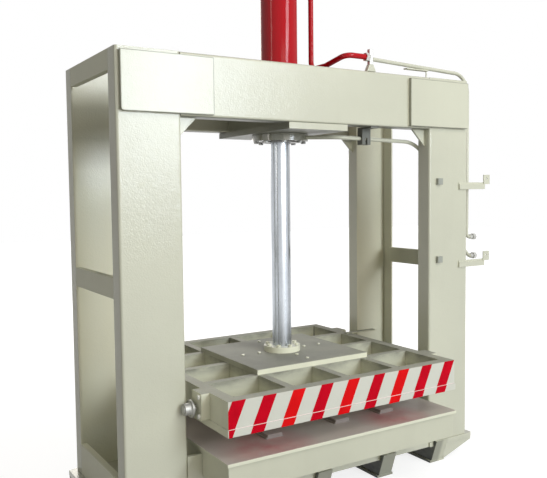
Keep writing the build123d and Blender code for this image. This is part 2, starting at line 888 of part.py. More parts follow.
# Red pipe from the upper port down beside the barrel and forward to the line block
line_block_left = line_block_x - line_block_width / 2
line_block_right = line_block_x + line_block_width / 2
port_face = port_direction * (barrel_radius + port_length)
red_pipe_low = frame_height + red_pipe_rise
red_pipe_end = line_start_height + red_pipe_lift
red_pipe = pipe_run(
    (
        (port_face.X, port_face.Y, port_height),
        (red_pipe_x, red_pipe_y, port_height),
        (red_pipe_x, red_pipe_y, red_pipe_low),
        (red_pipe_x, line_row / 2, red_pipe_low),
        (red_pipe_x, line_row, red_pipe_end),
        (line_block_left, line_row, red_pipe_end),
    ),
    (red_pipe_bend, red_pipe_bend, red_pipe_bend, red_pipe_bend),
    red_pipe_radius,
)
save(red_pipe, "pipe_red")

# Line block on its stand at the crosshead's front edge
line_block_floor = line_start_height - line_block_drop
with BuildPart() as line_block:
    with Locations((line_block_x, line_row, line_block_floor + line_block_height / 2)):
        Box(line_block_width, line_block_depth, line_block_height)
    chamfer(line_block.edges().filter_by(Axis.Z), line_block_edge)
save(line_block, "line_block")

with BuildPart() as block_stand:
    with BuildSketch(Plane.XZ.offset(-line_row - line_block_depth / 2)):
        with BuildLine():
            Polyline(
                (line_block_x - stand_foot / 2, frame_height),
                (line_block_x + stand_foot / 2, frame_height),
                (line_block_x + stand_top / 2, line_block_floor),
                (line_block_x - stand_top / 2, line_block_floor),
                close=True,
            )
        make_face()
    extrude(amount=line_block_depth)
save(block_stand, "line_block_stand")

# Long pipe along the crosshead's front edge and down the right side
line_outlet_end = line_drop_x + line_outlet
line_drop_row = line_row + line_row_shift
line_lean = math.hypot(line_slope_drop, line_row_shift) / (line_drop_x - line_block_right)
line_start = Vector(line_block_right + pipe_radius * line_lean, line_row, line_start_height)
line_corner = Vector(line_drop_x, line_drop_row, line_start_height - line_slope_drop)
upper_pipe = pipe_run(
    (
        line_start,
        line_corner,
        (line_drop_x, line_drop_row, line_drop_end),
        (line_outlet_end, line_drop_row, line_drop_end),
    ),
    (line_corner_bend, pipe_short_bend),
    pipe_radius,
)
save(upper_pipe, "pipe_upper")

# Flat strip that carries the long pipe on a leg above the crosshead
clip_share = (clip_leg_x - line_start.X) / (line_corner.X - line_start.X)
clip_spot = line_start + (line_corner - line_start) * clip_share
clip_top = clip_spot.Z - pipe_radius
with BuildPart() as pipe_clip:
    add_plate(
        (clip_start, clip_leg_x + clip_leg_radius),
        (clip_spot.Y - clip_depth / 2, clip_spot.Y + clip_depth / 2),
        (clip_top - clip_strip, clip_top),
    )
    with BuildSketch(Plane.XY.offset(frame_height)):
        with Locations((clip_leg_x, clip_spot.Y)):
            Circle(clip_leg_radius)
    extrude(amount=clip_top - clip_strip - frame_height)
    with BuildSketch(Plane(origin=line_start, z_dir=line_corner - line_start)):
        Circle(pipe_radius + seat_clearance)
    extrude(amount=clip_leg_x + clip_depth - line_block_right, mode=Mode.SUBTRACT)
save(pipe_clip, "pipe_clip")

# Lower pipe from the cylinder's flange under the crosshead into the right column and out of its side
port_turn = math.radians(lower_port_angle)
lower_port_reach = flange_radius + lower_port_gap
lower_port_x = lower_port_reach * math.cos(port_turn)
lower_port_y = -lower_port_reach * math.sin(port_turn)
lower_turn_x = lower_port_x + (lower_port_y - lower_line_y) / math.tan(port_turn)
lower_line_fall = lower_line_slope_drop / (lower_line_turn_x - lower_turn_x)
lower_exit_height = mid_tie_centre + mid_tie_height / 2 + lower_line_exit
lower_end_x = lower_line_end_x + lower_line_drop + lower_outlet
lower_end_height = lower_exit_height - lower_line_drop
lower_pipe = pipe_run(
    (
        (lower_port_x, lower_port_y, flange_floor + flange_plate / 2),
        (lower_turn_x, lower_line_y, lower_line_height),
        (lower_line_turn_x, lower_line_y, lower_line_height - lower_line_slope_drop),
        (lower_line_turn_x, lower_line_y, lower_exit_height),
        (lower_line_end_x, lower_line_y, lower_exit_height),
        (lower_line_end_x + lower_line_drop, lower_line_y, lower_end_height),
        (lower_end_x, lower_line_y, lower_end_height),
    ),
    (pipe_bend, lower_line_bend, pipe_bend, pipe_short_bend, pipe_short_bend),
    pipe_radius,
)
save(lower_pipe, "pipe_lower")

# Hanger under the front channel that clamps the lower pipe in two halves
hanger_top = crosshead_floor - hanger_plate
hanger_floor = lower_line_height - hanger_below
hanger_inner_y = lower_line_y + hanger_depth / 2
hanger_bore = Plane(origin=(lower_turn_x, lower_line_y, lower_line_height), z_dir=(1, 0, -lower_line_fall))
with BuildPart() as hanger:
    add_plate(
        (hanger_x - hanger_width / 2, hanger_x + hanger_width / 2),
        (-web_inner, hanger_inner_y),
        (hanger_top, crosshead_floor),
    )
    add_plate(
        (hanger_x - hanger_width / 2, hanger_x + hanger_width / 2),
        (lower_line_y - hanger_depth / 2, hanger_inner_y),
        (hanger_floor, hanger_top),
    )
    with Locations((hanger_x, lower_line_y, hanger_floor + hanger_below / 2)):
        Box(hanger_gap, hanger_depth, hanger_below, mode=Mode.SUBTRACT)
    with BuildSketch(hanger_bore):
        Circle(pipe_radius + seat_clearance)
    extrude(amount=hanger_x + hanger_width - lower_turn_x, mode=Mode.SUBTRACT)
save(hanger, "pipe_hanger")

# Union nuts at the pipes' open ends, and the larger one where the red pipe meets the block
nut_ends = ((line_outlet_end, line_drop_row, line_drop_end), (lower_end_x, lower_line_y, lower_end_height))
with BuildPart() as unions:
    for end_x, end_y, end_z in nut_ends:
        with BuildSketch(Plane.YZ.offset(end_x - union_length)):
            with Locations((end_y, end_z)):
                RegularPolygon(union_across / 2, 6, major_radius=False)
        extrude(amount=union_length)
        with BuildSketch(Plane.YZ.offset(end_x - union_length - union_sleeve)):
            with Locations((end_y, end_z)):
                Circle(union_sleeve_radius)
        extrude(amount=union_sleeve)
        with BuildSketch(Plane.YZ.offset(end_x - union_length - union_sleeve)):
            with Locations((end_y, end_z)):
                Circle(pipe_radius + seat_clearance)
        extrude(amount=union_length + union_sleeve, mode=Mode.SUBTRACT)
    with BuildSketch(Plane.YZ.offset(line_block_left - red_union_length)):
        with Locations((line_row, red_pipe_end)):
            RegularPolygon(red_union_across / 2, 6, major_radius=False)
            Circle(red_pipe_radius + seat_clearance, mode=Mode.SUBTRACT)
    extrude(amount=red_union_length)
save(unions, "line_unions")

# Two stepped switch brackets on the right front post, with a drilled tab on each one's ledge
with BuildPart() as brackets:
    for bracket_z in bracket_heights:
        bracket_floor = bracket_z - bracket_height / 2
        with BuildSketch(Plane.YZ.offset(bracket_start)):
            with BuildLine():
                Polyline(
                    (-half_depth, bracket_floor),
                    (-half_depth - bracket_front, bracket_floor),
                    (-half_depth - bracket_front, bracket_floor + bracket_height - bracket_ledge),
                    (-half_depth - bracket_back, bracket_floor + bracket_height - bracket_ledge),
                    (-half_depth - bracket_back, bracket_floor + bracket_height),
                    (-half_depth, bracket_floor + bracket_height),
                    close=True,
                )
            make_face()
        extrude(amount=bracket_length)
save(brackets, "switch_brackets")

tab_x = bracket_start + bracket_length - tab_width / 2 + tab_reach
with BuildPart() as tabs:
    for bracket_z in bracket_heights:
        ledge_z = bracket_z + bracket_height / 2 - bracket_ledge
        tab_top = ledge_z + bracket_ledge + tab_height
        with BuildSketch(Plane.XZ.offset(half_depth + bracket_back)):
            with Locations((tab_x, (ledge_z + tab_top) / 2)):
                Rectangle(tab_width, tab_top - ledge_z)
            with Locations((tab_x, tab_top - tab_height / 2)):
                Circle(tab_hole_radius, mode=Mode.SUBTRACT)
        extrude(amount=tab_plate)
save(tabs, "switch_tabs")

with BuildPart() as square_bolts:
    for bolt_z in square_bolt_heights:
        with BuildSketch(Plane.XZ.offset(half_depth)):
            with Locations((square_bolt_x, bolt_z)):
                Rectangle(square_bolt_across, square_bolt_across)
        extrude(amount=square_bolt_head)
        with BuildSketch(Plane.XZ.offset(half_depth)):
            with Locations((square_bolt_x, bolt_z)):
                Circle(square_bolt_shank)
        extrude(amount=-square_bolt_length)
save(square_bolts, "post_square_bolts")
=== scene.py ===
"""Hydraulic press: finishes, softened edges, fasteners, welds and a plain studio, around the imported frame."""

import json
import math

import bmesh
import bpy
from bpy.props import FloatProperty, FloatVectorProperty, IntProperty
from mathutils import Matrix, Vector


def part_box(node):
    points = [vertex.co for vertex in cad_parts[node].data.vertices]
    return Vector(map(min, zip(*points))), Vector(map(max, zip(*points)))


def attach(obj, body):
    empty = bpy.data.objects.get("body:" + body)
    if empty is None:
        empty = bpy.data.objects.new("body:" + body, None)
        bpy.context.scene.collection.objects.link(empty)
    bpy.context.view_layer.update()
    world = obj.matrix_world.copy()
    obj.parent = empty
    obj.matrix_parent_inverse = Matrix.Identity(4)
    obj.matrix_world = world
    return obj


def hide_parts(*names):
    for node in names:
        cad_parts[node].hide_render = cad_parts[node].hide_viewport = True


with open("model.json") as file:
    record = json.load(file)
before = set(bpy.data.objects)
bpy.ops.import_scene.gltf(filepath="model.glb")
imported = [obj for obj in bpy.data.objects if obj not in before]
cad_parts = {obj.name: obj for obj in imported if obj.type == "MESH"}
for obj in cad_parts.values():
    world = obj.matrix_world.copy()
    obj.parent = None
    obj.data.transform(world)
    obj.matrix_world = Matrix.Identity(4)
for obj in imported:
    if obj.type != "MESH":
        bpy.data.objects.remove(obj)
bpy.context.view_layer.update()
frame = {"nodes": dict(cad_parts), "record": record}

bl_info = {
    "name": "Hydraulic Press",
    "version": (1, 0, 0),
    "blender": (4, 5, 0),
    "location": "3D View > Sidebar > Press",
    "description": "Builds the looks of a portal hydraulic press around its packed frame",
    "category": "Object",
}

CORNERS = ("front_left", "front_right", "rear_left", "rear_right")
WHITE = (1.0, 1.0, 1.0, 1.0)
POINTS_ROUND = 96
HEAD_POINTS = 36
SHANK_POINTS = 24
RIPPLES = 12
MERGE_DISTANCE = 0.00002
FLAT_ANGLE = math.radians(0.4)
UPRIGHT = 0.9
SHARP_ANGLE = math.radians(34)
SMOOTH_ANGLE = math.radians(40)
MATERIALS = {}


def colour_property(name, description, default):
    """A colour that the sidebar shows as a swatch."""
    return FloatVectorProperty(
        name=name, description=description, default=default, subtype="COLOR", size=3, min=0.0, max=1.0
    )


def length_property(name, description, default):
    """A length in metres."""
    return FloatProperty(name=name, description=description, default=default, unit="LENGTH", min=0.0)


def power_property(name, description, default):
    """A lamp's power."""
    return FloatProperty(name=name, description=description, default=default, unit="POWER", min=0.0)


def share_property(name, description, default):
    """A share between 0 and 1."""
    return FloatProperty(name=name, description=description, default=default, min=0.0, max=1.0)


class PressFinishSettings(bpy.types.PropertyGroup):
    """Colours and surface sizes of the press's finishes."""

    enamel: colour_property("Frame enamel", "Pale grey-beige enamel on the frame", (0.615, 0.614, 0.490))
    ground: colour_property("Stripe ground", "Whiter paint under the hazard stripes", (0.69, 0.685, 0.605))
    dust: colour_property("Shop dust", "Brownish film on the bed's top", (0.57, 0.495, 0.475))
    grey_dust: colour_property("Grey dust", "Greyer film on the platen's upper faces", (0.35, 0.35, 0.31))
    # Painted reflection: this warm colour low on the rear posts stands in for a warm reflection.
    warm: colour_property("Painted warm reflection", "Painted warm reflection low on the rear posts", (0.86, 0.82, 0.63))
    overspray: colour_property("Red overspray", "Faint red haze on the bed", (0.55, 0.12, 0.14))
    crimson: colour_property("Crimson film", "Most of the hazard stripes", (0.60, 0.001, 0.014))
    orange: colour_property("Orange film", "The other hazard stripes", (0.78, 0.006, 0.008))
    red: colour_property("Cylinder enamel", "Red enamel on the cylinder and its pipe", (0.50, 0.003, 0.009))
    clamp: colour_property("Clamp enamel", "Dark olive-grey clamp and square bolts", (0.16, 0.165, 0.145))
    bright_steel: colour_property("Bright steel", "Rollers, axles and fittings", (0.60, 0.60, 0.57))
    plain_steel: colour_property("Plain steel", "Bolts and nuts", (0.30, 0.30, 0.285))
    dark_steel: colour_property("Dark steel", "Turned parts around the rod", (0.20, 0.195, 0.185))
    chrome: colour_property("Chrome", "The rod", (0.50, 0.53, 0.57))
    # Painted shade: this dark colour in the platen's cells stands in for shade.
    grime: colour_property("Grime", "Painted shade in the platen's cells", (0.10, 0.10, 0.098))
    # Partly painted highlight: the seam bead's pale pinkish paint also stands in for the highlight along the
    # seam.
    seam: colour_property("Seam paint", "Pinkish paint and painted highlight on the seam above the press plate", (0.84, 0.70, 0.68))
    # Painted shade: this dark colour on the feet's sides stands in for shade.
    foot_shade: colour_property("Foot shade", "Painted shade on the sides of the feet", (0.085, 0.092, 0.088))
    rail_grey: colour_property("Rail grey", "Darker grey-brown of the bed's rails", (0.33, 0.29, 0.27))
    rubber: colour_property("Seal rubber", "Seals and rings", (0.022, 0.022, 0.022))
    peel_size: length_property("Orange peel", "Distance between two bumps of the sprayed enamel", 0.006)
    gloss: share_property("Gloss", "Strength of the frame's clear film", 0.72)


class PressDetailSettings(bpy.types.PropertyGroup):
    """Sizes of the details that are modelled here."""

    edge: length_property("Plate edge", "Rounding of cut plate edges", 0.0016)
    thick_edge: length_property("Thick plate edge", "Rounding of the heavy plates' edges", 0.0024)
    fine_edge: length_property("Fine edge", "Rounding on fittings and small plates", 0.0008)
    bead: length_property("Weld bead", "Radius of the weld beads", 0.006)
    ripple: length_property("Weld ripple", "Distance between two ripples of a bead", 0.005)
    rings: IntProperty(name="Edge rings", description="Segments of a rounded edge", default=2, min=1, max=4)


class PressStageSettings(bpy.types.PropertyGroup):
    """The plain studio around the press."""

    key_power: power_property("Key", "Power of the wide soft light in front", 112.0)
    window_power: power_property("Window", "Power of the cool light at the front right", 244.0)
    upper_power: power_property("Upper window", "Power of the cool light high at the front right", 160.0)
    top_power: power_property("Top", "Power of the wide light above the front", 100.0)
    left_power: power_property("Left", "Power of the tall narrow light at the left", 38.0)
    back_fill_power: power_property("Back fill", "Power of the soft light behind", 110.0)
    ambient: share_property("Ambient", "Strength of the even light from all round", 0.10)
    floor: colour_property("Floor", "Pale floor", (0.36, 0.36, 0.355))
    floor_glow: share_property("Floor glow", "White that the camera sees on the floor near the press", 0.80)


def finishes():
    """The finish settings of the scene."""
    return bpy.context.scene.press_finish


def details():
    """The detail settings of the scene."""
    return bpy.context.scene.press_detail


# Shader nodes


def feed(tree, node, inputs):
    """Links each named or numbered input of a node to a socket, or sets it to a plain value."""
    for name, source in inputs.items():
        if isinstance(source, bpy.types.NodeSocket):
            tree.links.new(source, node.inputs[name])
        else:
            node.inputs[name].default_value = source


def new_node(tree, kind, inputs, **choices):
    """A new shader node with its choices made and its inputs fed."""
    node = tree.nodes.new(kind)
    for name, choice in choices.items():
        setattr(node, name, choice)
    feed(tree, node, inputs)
    return node


def new_material(name):
    """A material with an empty node tree, its shader and an output."""
    material = bpy.data.materials.new(name)
    material.use_nodes = True
    tree = material.node_tree
    tree.nodes.clear()
    output = tree.nodes.new("ShaderNodeOutputMaterial")
    shader = tree.nodes.new("ShaderNodeBsdfPrincipled")
    tree.links.new(shader.outputs["BSDF"], output.inputs["Surface"])
    return material, tree, shader


def object_coordinates(tree):
    """The piece's own coordinates in metres."""
    return tree.nodes.new("ShaderNodeTexCoord").outputs["Object"]


def place_axis(tree, axis):
    """One axis of the place on the piece, in metres."""
    return new_node(tree, "ShaderNodeSeparateXYZ", {"Vector": object_coordinates(tree)}).outputs[axis]


def normal_axis(tree, axis):
    """One axis of the face's normal."""
    normal = tree.nodes.new("ShaderNodeNewGeometry").outputs["Normal"]
    return new_node(tree, "ShaderNodeSeparateXYZ", {"Vector": normal}).outputs[axis]


def noise(tree, coordinates, scale, detail=2.0, roughness=0.5):
    """A noise value between 0 and 1."""
    inputs = {"Vector": coordinates, "Scale": scale, "Detail": detail, "Roughness": roughness}
    return new_node(tree, "ShaderNodeTexNoise", inputs).outputs["Fac"]


def stretched(tree, coordinates, scale):
    """Coordinates scaled by a different amount along each axis."""
    return new_node(tree, "ShaderNodeMapping", {"Vector": coordinates, "Scale": scale}).outputs["Vector"]


def smears(tree, stretch, roughness):
    """Ragged noise, stretched along the axes."""
    return noise(tree, stretched(tree, object_coordinates(tree), stretch), 1.0, 4.0, roughness)


def remapped(tree, value, low, high, new_low, new_high):
    """A value moved from one range to another and kept inside it."""
    inputs = {"Value": value, "From Min": low, "From Max": high, "To Min": new_low, "To Max": new_high}
    return new_node(tree, "ShaderNodeMapRange", inputs).outputs["Result"]


def rising(tree, value, low, high):
    """0 below a range, 1 above it, with a slope between."""
    return remapped(tree, value, low, high, 0.0, 1.0)


def falling(tree, value, low, high):
    """1 below a range, 0 above it, with a slope between."""
    return remapped(tree, value, low, high, 1.0, 0.0)


def arithmetic(tree, operation, first, second=0.0):
    """One arithmetic step between two values or a value and a number; a product stays between 0 and 1."""
    inputs, clamp = {0: first, 1: second}, operation == "MULTIPLY"
    return new_node(tree, "ShaderNodeMath", inputs, operation=operation, use_clamp=clamp).outputs["Value"]


def product(tree, first, *others):
    """Shares multiplied one after another."""
    for other in others:
        first = arithmetic(tree, "MULTIPLY", first, other)
    return first


def greatest(tree, first, *others):
    """The greatest of several shares."""
    for other in others:
        first = arithmetic(tree, "MAXIMUM", first, other)
    return first


def distance_along(tree, axis):
    """How far the place on the piece lies from the middle along an axis."""
    return arithmetic(tree, "ABSOLUTE", place_axis(tree, axis))


def facing_up(tree):
    """How far a face looks up, from 0 to 1."""
    return rising(tree, normal_axis(tree, "Z"), 0.55, 0.95)


def facing_front(tree, full=-0.95, none=-0.80):
    """How far a face looks to the front, from 0 to 1."""
    return falling(tree, normal_axis(tree, "Y"), full, none)


def facing_sideways(tree):
    """How far a face looks left or right, from 0 to 1."""
    return rising(tree, arithmetic(tree, "ABSOLUTE", normal_axis(tree, "X")), 0.80, 0.95)


def mixed(tree, share, first, second):
    """Two colours mixed by a share; each is a socket or a plain colour."""
    node = new_node(tree, "ShaderNodeMix", {"Factor": share}, data_type="RGBA")
    numbers = [number for number, socket in enumerate(node.inputs) if socket.type == "RGBA"]
    for number, colour in zip(numbers, (first, second)):
        feed(tree, node, {number: colour if isinstance(colour, bpy.types.NodeSocket) else (*colour, 1.0)})
    return next(socket for socket in node.outputs if socket.type == "RGBA")


def shifted(colour, amount):
    """A colour made lighter or darker by a share."""
    return tuple(min(1.0, channel * (1.0 + amount)) for channel in colour)


def bump(tree, shader, height, strength, distance):
    """Bumps from a height value, under the shader's surface and its clear film."""
    inputs = {"Height": height, "Strength": strength, "Distance": distance}
    normal = new_node(tree, "ShaderNodeBump", inputs).outputs["Normal"]
    feed(tree, shader, {"Normal": normal, "Coat Normal": normal})


# Finishes


def enamel_material(name, colour, dust, dust_share, peel, coat, specular, rough, film_rough=0.11):
    """Sprayed enamel: orange peel, soft cloudiness, runs and a colour on what looks up: dust, and on the tie
    primer a painted highlight.
    """
    material, tree, shader = new_material(name)
    place = object_coordinates(tree)
    clouds = noise(tree, place, 2.3, 3.0)
    grain = noise(tree, place, 38.0, 3.0, 0.6)
    runs = noise(tree, stretched(tree, place, (14.0, 14.0, 1.1)), 1.0, 2.0)
    tone = mixed(tree, rising(tree, clouds, 0.3, 0.7), shifted(colour, -0.045), shifted(colour, 0.035))
    tone = mixed(tree, remapped(tree, runs, 0.55, 0.8, 0.0, 0.22), tone, shifted(colour, -0.10))
    tone = mixed(tree, remapped(tree, grain, 0.62, 0.8, 0.0, 0.20), tone, shifted(colour, -0.16))
    if dust is not None:
        patches = remapped(tree, noise(tree, place, 5.5, 4.0, 0.6), 0.25, 0.7, 0.72 * dust_share, dust_share)
        tone = mixed(tree, product(tree, facing_up(tree), patches), tone, dust)
    feed(tree, shader, {
        "Base Color": tone,
        "Roughness": remapped(tree, grain, 0.2, 0.8, *rough),
        "Specular IOR Level": specular,
        "Coat Weight": coat,
        "Coat Roughness": film_rough,
        "Coat IOR": 1.5,
    })
    small = noise(tree, place, 1.0 / finishes().peel_size, 2.0, 0.6)
    wide = noise(tree, place, 0.3 / finishes().peel_size, 1.0)
    bump(tree, shader, arithmetic(tree, "ADD", small, product(tree, wide, 0.55)), peel, 0.0008)
    return material


def film_material(name, colour):
    """Sign film with slight waves and mottling."""
    material, tree, shader = new_material(name)
    place = object_coordinates(tree)
    mottle = rising(tree, noise(tree, place, 17.0, 3.0), 0.3, 0.7)
    feed(tree, shader, {
        "Base Color": mixed(tree, mottle, shifted(colour, -0.10), shifted(colour, 0.08)),
        "Roughness": 0.36,
        "Specular IOR Level": 0.04,
        "Coat Weight": 0.02,
        "Coat Roughness": 0.10,
    })
    bump(tree, shader, noise(tree, place, 55.0, 2.0), 0.12, 0.001)
    return material


def steel_material(name, colour, rough, metal, grain):
    """Machined steel with fine tool marks and small stains."""
    material, tree, shader = new_material(name)
    place = object_coordinates(tree)
    stains = noise(tree, place, 26.0, 4.0, 0.6)
    stained = remapped(tree, stains, 0.45, 0.75, 0.0, 0.7)
    feed(tree, shader, {
        "Base Color": mixed(tree, stained, colour, shifted(colour, -0.38)),
        "Metallic": metal,
        "Roughness": remapped(tree, stains, 0.3, 0.75, *rough),
    })
    bump(tree, shader, noise(tree, stretched(tree, place, grain), 1.0, 2.0, 0.7), 0.22, 0.0004)
    return material


def chrome_material(name, colour):
    """Ground and chromed rod with faint lengthwise wiping marks and an oil film."""
    material, tree, shader = new_material(name)
    place = object_coordinates(tree)
    wiped = noise(tree, stretched(tree, place, (160.0, 160.0, 2.2)), 1.0, 3.0, 0.6)
    oil = noise(tree, place, 4.5, 3.0, 0.55)
    dull_marks = remapped(tree, wiped, 0.3, 0.7, 0.14, 0.26)
    dull_oil = remapped(tree, oil, 0.3, 0.7, 0.0, 0.12)
    oiled = rising(tree, oil, 0.35, 0.7)
    feed(tree, shader, {
        "Base Color": mixed(tree, oiled, shifted(colour, 0.08), shifted(colour, -0.16)),
        "Metallic": 1.0,
        "Roughness": arithmetic(tree, "ADD", dull_marks, dull_oil),
    })
    bump(tree, shader, wiped, 0.10, 0.0002)
    return material


def rubber_material(name, colour):
    """Matt black rubber with a fine grain."""
    material, tree, shader = new_material(name)
    grain = noise(tree, object_coordinates(tree), 420.0, 2.0)
    tone = mixed(tree, grain, shifted(colour, -0.2), shifted(colour, 0.5))
    feed(tree, shader, {"Base Color": tone, "Roughness": 0.55})
    bump(tree, shader, grain, 0.2, 0.0003)
    return material


# Wear, film, painted shade, painted highlights and painted reflections at their own places


def shader_of(material):
    """The principled shader of a material made here."""
    return next(node for node in material.node_tree.nodes if node.type == "BSDF_PRINCIPLED")


def over_colour(material, share, colour):
    """Lays a colour over a material's own by a share."""
    tree, shader = material.node_tree, shader_of(material)
    under = shader.inputs["Base Color"].links[0].from_socket
    feed(tree, shader, {"Base Color": mixed(tree, share, under, colour)})


def thin_film(material, share, least):
    """Thins a material's clear film by a share, down to its least strength."""
    tree, shader = material.node_tree, shader_of(material)
    full = shader.inputs["Coat Weight"].default_value
    feed(tree, shader, {"Coat Weight": remapped(tree, share, 0.0, 1.0, full, least)})


def whitened_front(material, colour):
    """Adds the whiter coat on the platen's front face, behind the stripes."""
    tree = material.node_tree
    front_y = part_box("platen_end_rails")[0].y
    at_front = falling(tree, place_axis(tree, "Y"), front_y, front_y + 0.01)
    over_colour(material, product(tree, facing_front(tree, -0.98, -0.85), at_front), colour)


def shaded_outer_edges(material, colour):
    """Paints shade on the posts' outer edges, which look left or right, and thins their clear film there."""
    tree = material.node_tree
    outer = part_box("post_front_right")[1].x
    at_edge = rising(tree, distance_along(tree, "X"), outer - 0.012, outer - 0.008)
    edge = product(tree, facing_sideways(tree), at_edge)
    thin_film(material, edge, 0.02)
    over_colour(material, edge, colour)


def painted_back_reflections(material, warm, painted_dark_reflection):
    """Thins the clear film on the rear posts' plates seen through the columns, at the upper left and low down,
    and paints reflections on them: a painted dark reflection at the upper left, a painted warm reflection lower
    down.
    """
    tree, shader = material.node_tree, shader_of(material)
    dark_starts, dark_ends, dull_ends = (1.60, 1.76), (1.90, 2.02), (1.38, 1.56)
    warm_starts, warm_ends, to_right = (0.30, 0.70), (1.20, 1.55), (-0.2, 0.2)
    front, height = facing_front(tree), place_axis(tree, "Z")
    upper = product(
        tree, front, rising(tree, height, *dark_starts), remapped(tree, height, *dark_ends, 1.0, 0.2),
        falling(tree, place_axis(tree, "X"), *to_right)
    )
    below = product(tree, front, falling(tree, height, *dull_ends))
    film = shader.inputs["Coat Weight"].links[0].from_socket
    loss = product(tree, greatest(tree, upper, below), 0.6)
    feed(tree, shader, {"Coat Weight": arithmetic(tree, "SUBTRACT", film, loss)})
    lower = product(
        tree, front, rising(tree, height, *warm_starts), remapped(tree, height, *warm_ends, 0.9, 0.25)
    )
    # Painted warm reflection lower down.
    over_colour(material, lower, warm)
    # Painted dark reflection at the upper left.
    over_colour(material, product(tree, upper, 0.7), painted_dark_reflection)


def painted_edge_highlight(material, node, colour):
    """Paints a lighter front edge on a plate, as a painted highlight."""
    tree = material.node_tree
    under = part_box(node)[0].z
    height = rising(tree, place_axis(tree, "Z"), under - 0.001, under + 0.002)
    over_colour(material, product(tree, facing_front(tree), height), colour)


def shaded_outline(material, colour):
    """Paints shade as a darker line round the cover plates, on their rounded edges, and thins the clear film
    there.
    """
    tree = material.node_tree
    low, high = solids_of("corner_covers")[-1]
    full, none = 0.002, 0.005
    across, height = distance_along(tree, "X"), place_axis(tree, "Z")
    share = greatest(
        tree,
        falling(tree, across, low.x + full, low.x + none),
        rising(tree, across, high.x - none, high.x - full),
        falling(tree, height, low.z + full, low.z + none),
        rising(tree, height, high.z - none, high.z - full),
    )
    over_colour(material, product(tree, share, 0.8), colour)
    thin_film(material, share, 0.1)


def shaded_inside(material, colour):
    """Paints shade inside the crosshead's channels and on the faces that look down or left, and thins the clear
    film there.
    """
    tree = material.node_tree
    low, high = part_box("crosshead_channels")
    within = falling(tree, distance_along(tree, "Y"), high.y - 0.006, high.y - 0.003)
    above = rising(tree, place_axis(tree, "Z"), low.z + 0.002, low.z + 0.006)
    upright = falling(tree, normal_axis(tree, "Z"), 0.3, 0.6)
    down = falling(tree, normal_axis(tree, "Z"), -0.95, -0.60)
    left = remapped(tree, normal_axis(tree, "X"), -0.95, -0.80, 0.9, 0.0)
    share = greatest(tree, product(tree, within, above, upright, 0.8), down, left)
    over_colour(material, share, colour)
    thin_film(material, share, 0.05)


def shaded_cells(material, colour):
    """Paints shade on the upper part of the walls inside the platen's cells, with ragged edges."""
    tree = material.node_tree
    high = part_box("platen_end_rails")[1]
    share = remapped(tree, place_axis(tree, "Z"), high.z - 0.050, high.z - 0.003, 0.0, 0.72)
    for axis, reach in (("X", high.x), ("Y", high.y)):
        share = product(tree, share, falling(tree, distance_along(tree, axis), reach - 0.006, reach - 0.003))
    upright = falling(tree, normal_axis(tree, "Z"), 0.2, 0.5)
    ragged = remapped(tree, smears(tree, (7.0, 7.0, 16.0), 0.62), 0.30, 0.62, 0.25, 0.95)
    over_colour(material, product(tree, share, upright, ragged), colour)


def shaded_left(material, colour):
    """Paints shade on the left part of the platen's centre plate, darker towards the left."""
    tree = material.node_tree
    over_colour(material, remapped(tree, place_axis(tree, "X"), -0.40, 0.25, 0.45, 0.0), colour)


def shaded_foot_sides(material, colour):
    """Paints shade on the sides of the feet, with ragged edges."""
    tree = material.node_tree
    ragged = remapped(tree, smears(tree, (5.0, 5.0, 11.0), 0.6), 0.3, 0.6, 0.65, 1.0)
    over_colour(material, product(tree, facing_sideways(tree), ragged), colour)


def shaded_fronts(material, colour):
    """Paints the apron's shadow on the fronts of the inner feet, below the apron."""
    tree = material.node_tree
    inner = falling(tree, distance_along(tree, "X"), 0.78, 0.80)
    over_colour(material, product(tree, inner, facing_front(tree, -0.90, -0.70)), colour)


def red_haze(material, colour, spots):
    """Adds faint patches of red overspray; a spot is its middle and its reach."""
    tree = material.node_tree
    place = object_coordinates(tree)
    ragged = product(tree, noise(tree, place, 9.0, 3.0, 0.6), facing_up(tree))
    for point, reach in spots:
        distance = new_node(tree, "ShaderNodeVectorMath", {0: place, 1: point}, operation="DISTANCE")
        near = remapped(tree, distance.outputs["Value"], 0.0, reach, 1.7, 0.0)
        over_colour(material, product(tree, near, ragged), colour)


# What the record says of a node


def material_for(name):
    """The finished material of a slot or of a finish made here."""
    if name not in MATERIALS:
        raise RuntimeError(f"the finishes operator hasn't made a material for {name}")
    return MATERIALS[name]


def slot_of(node):
    """The material slot that the record gives a node."""
    for entry in frame["record"]["subparts"]:
        if entry["node"] == node:
            return entry["material_slot"]
    raise RuntimeError(f"{node} has no slot in the record")


def body_of_node(node):
    """The body that the record puts a node in."""
    for body, members in frame["record"]["behaviour"]["bodies"].items():
        if node in members:
            return body
    raise RuntimeError(f"{node} is in no body")


# Modelling helpers


def deselect():
    """Leaves edit mode and deselects every object."""
    if bpy.context.object and bpy.context.object.mode != "OBJECT":
        bpy.ops.object.mode_set(mode="OBJECT")
    bpy.ops.object.select_all(action="DESELECT")


def take(piece):
    """Makes one piece the only selected and active object."""
    deselect()
    piece.select_set(True)
    bpy.context.view_layer.objects.active = piece


def edit_all(piece):
    """Opens a piece in edit mode with all of it selected."""
    take(piece)
    bpy.ops.object.mode_set(mode="EDIT")
    bpy.ops.mesh.select_all(action="SELECT")


def leave_edit():
    """Goes back to object mode."""
    bpy.ops.object.mode_set(mode="OBJECT")


def apply_place(piece):
    """Puts a piece's place, turn and size into its mesh."""
    take(piece)
    bpy.ops.object.transform_apply(location=True, rotation=True, scale=True)


def apply_modifiers(piece):
    """Applies each modifier of a piece in turn."""
    take(piece)
    for modifier in list(piece.modifiers):
        bpy.ops.object.modifier_apply(modifier=modifier.name)


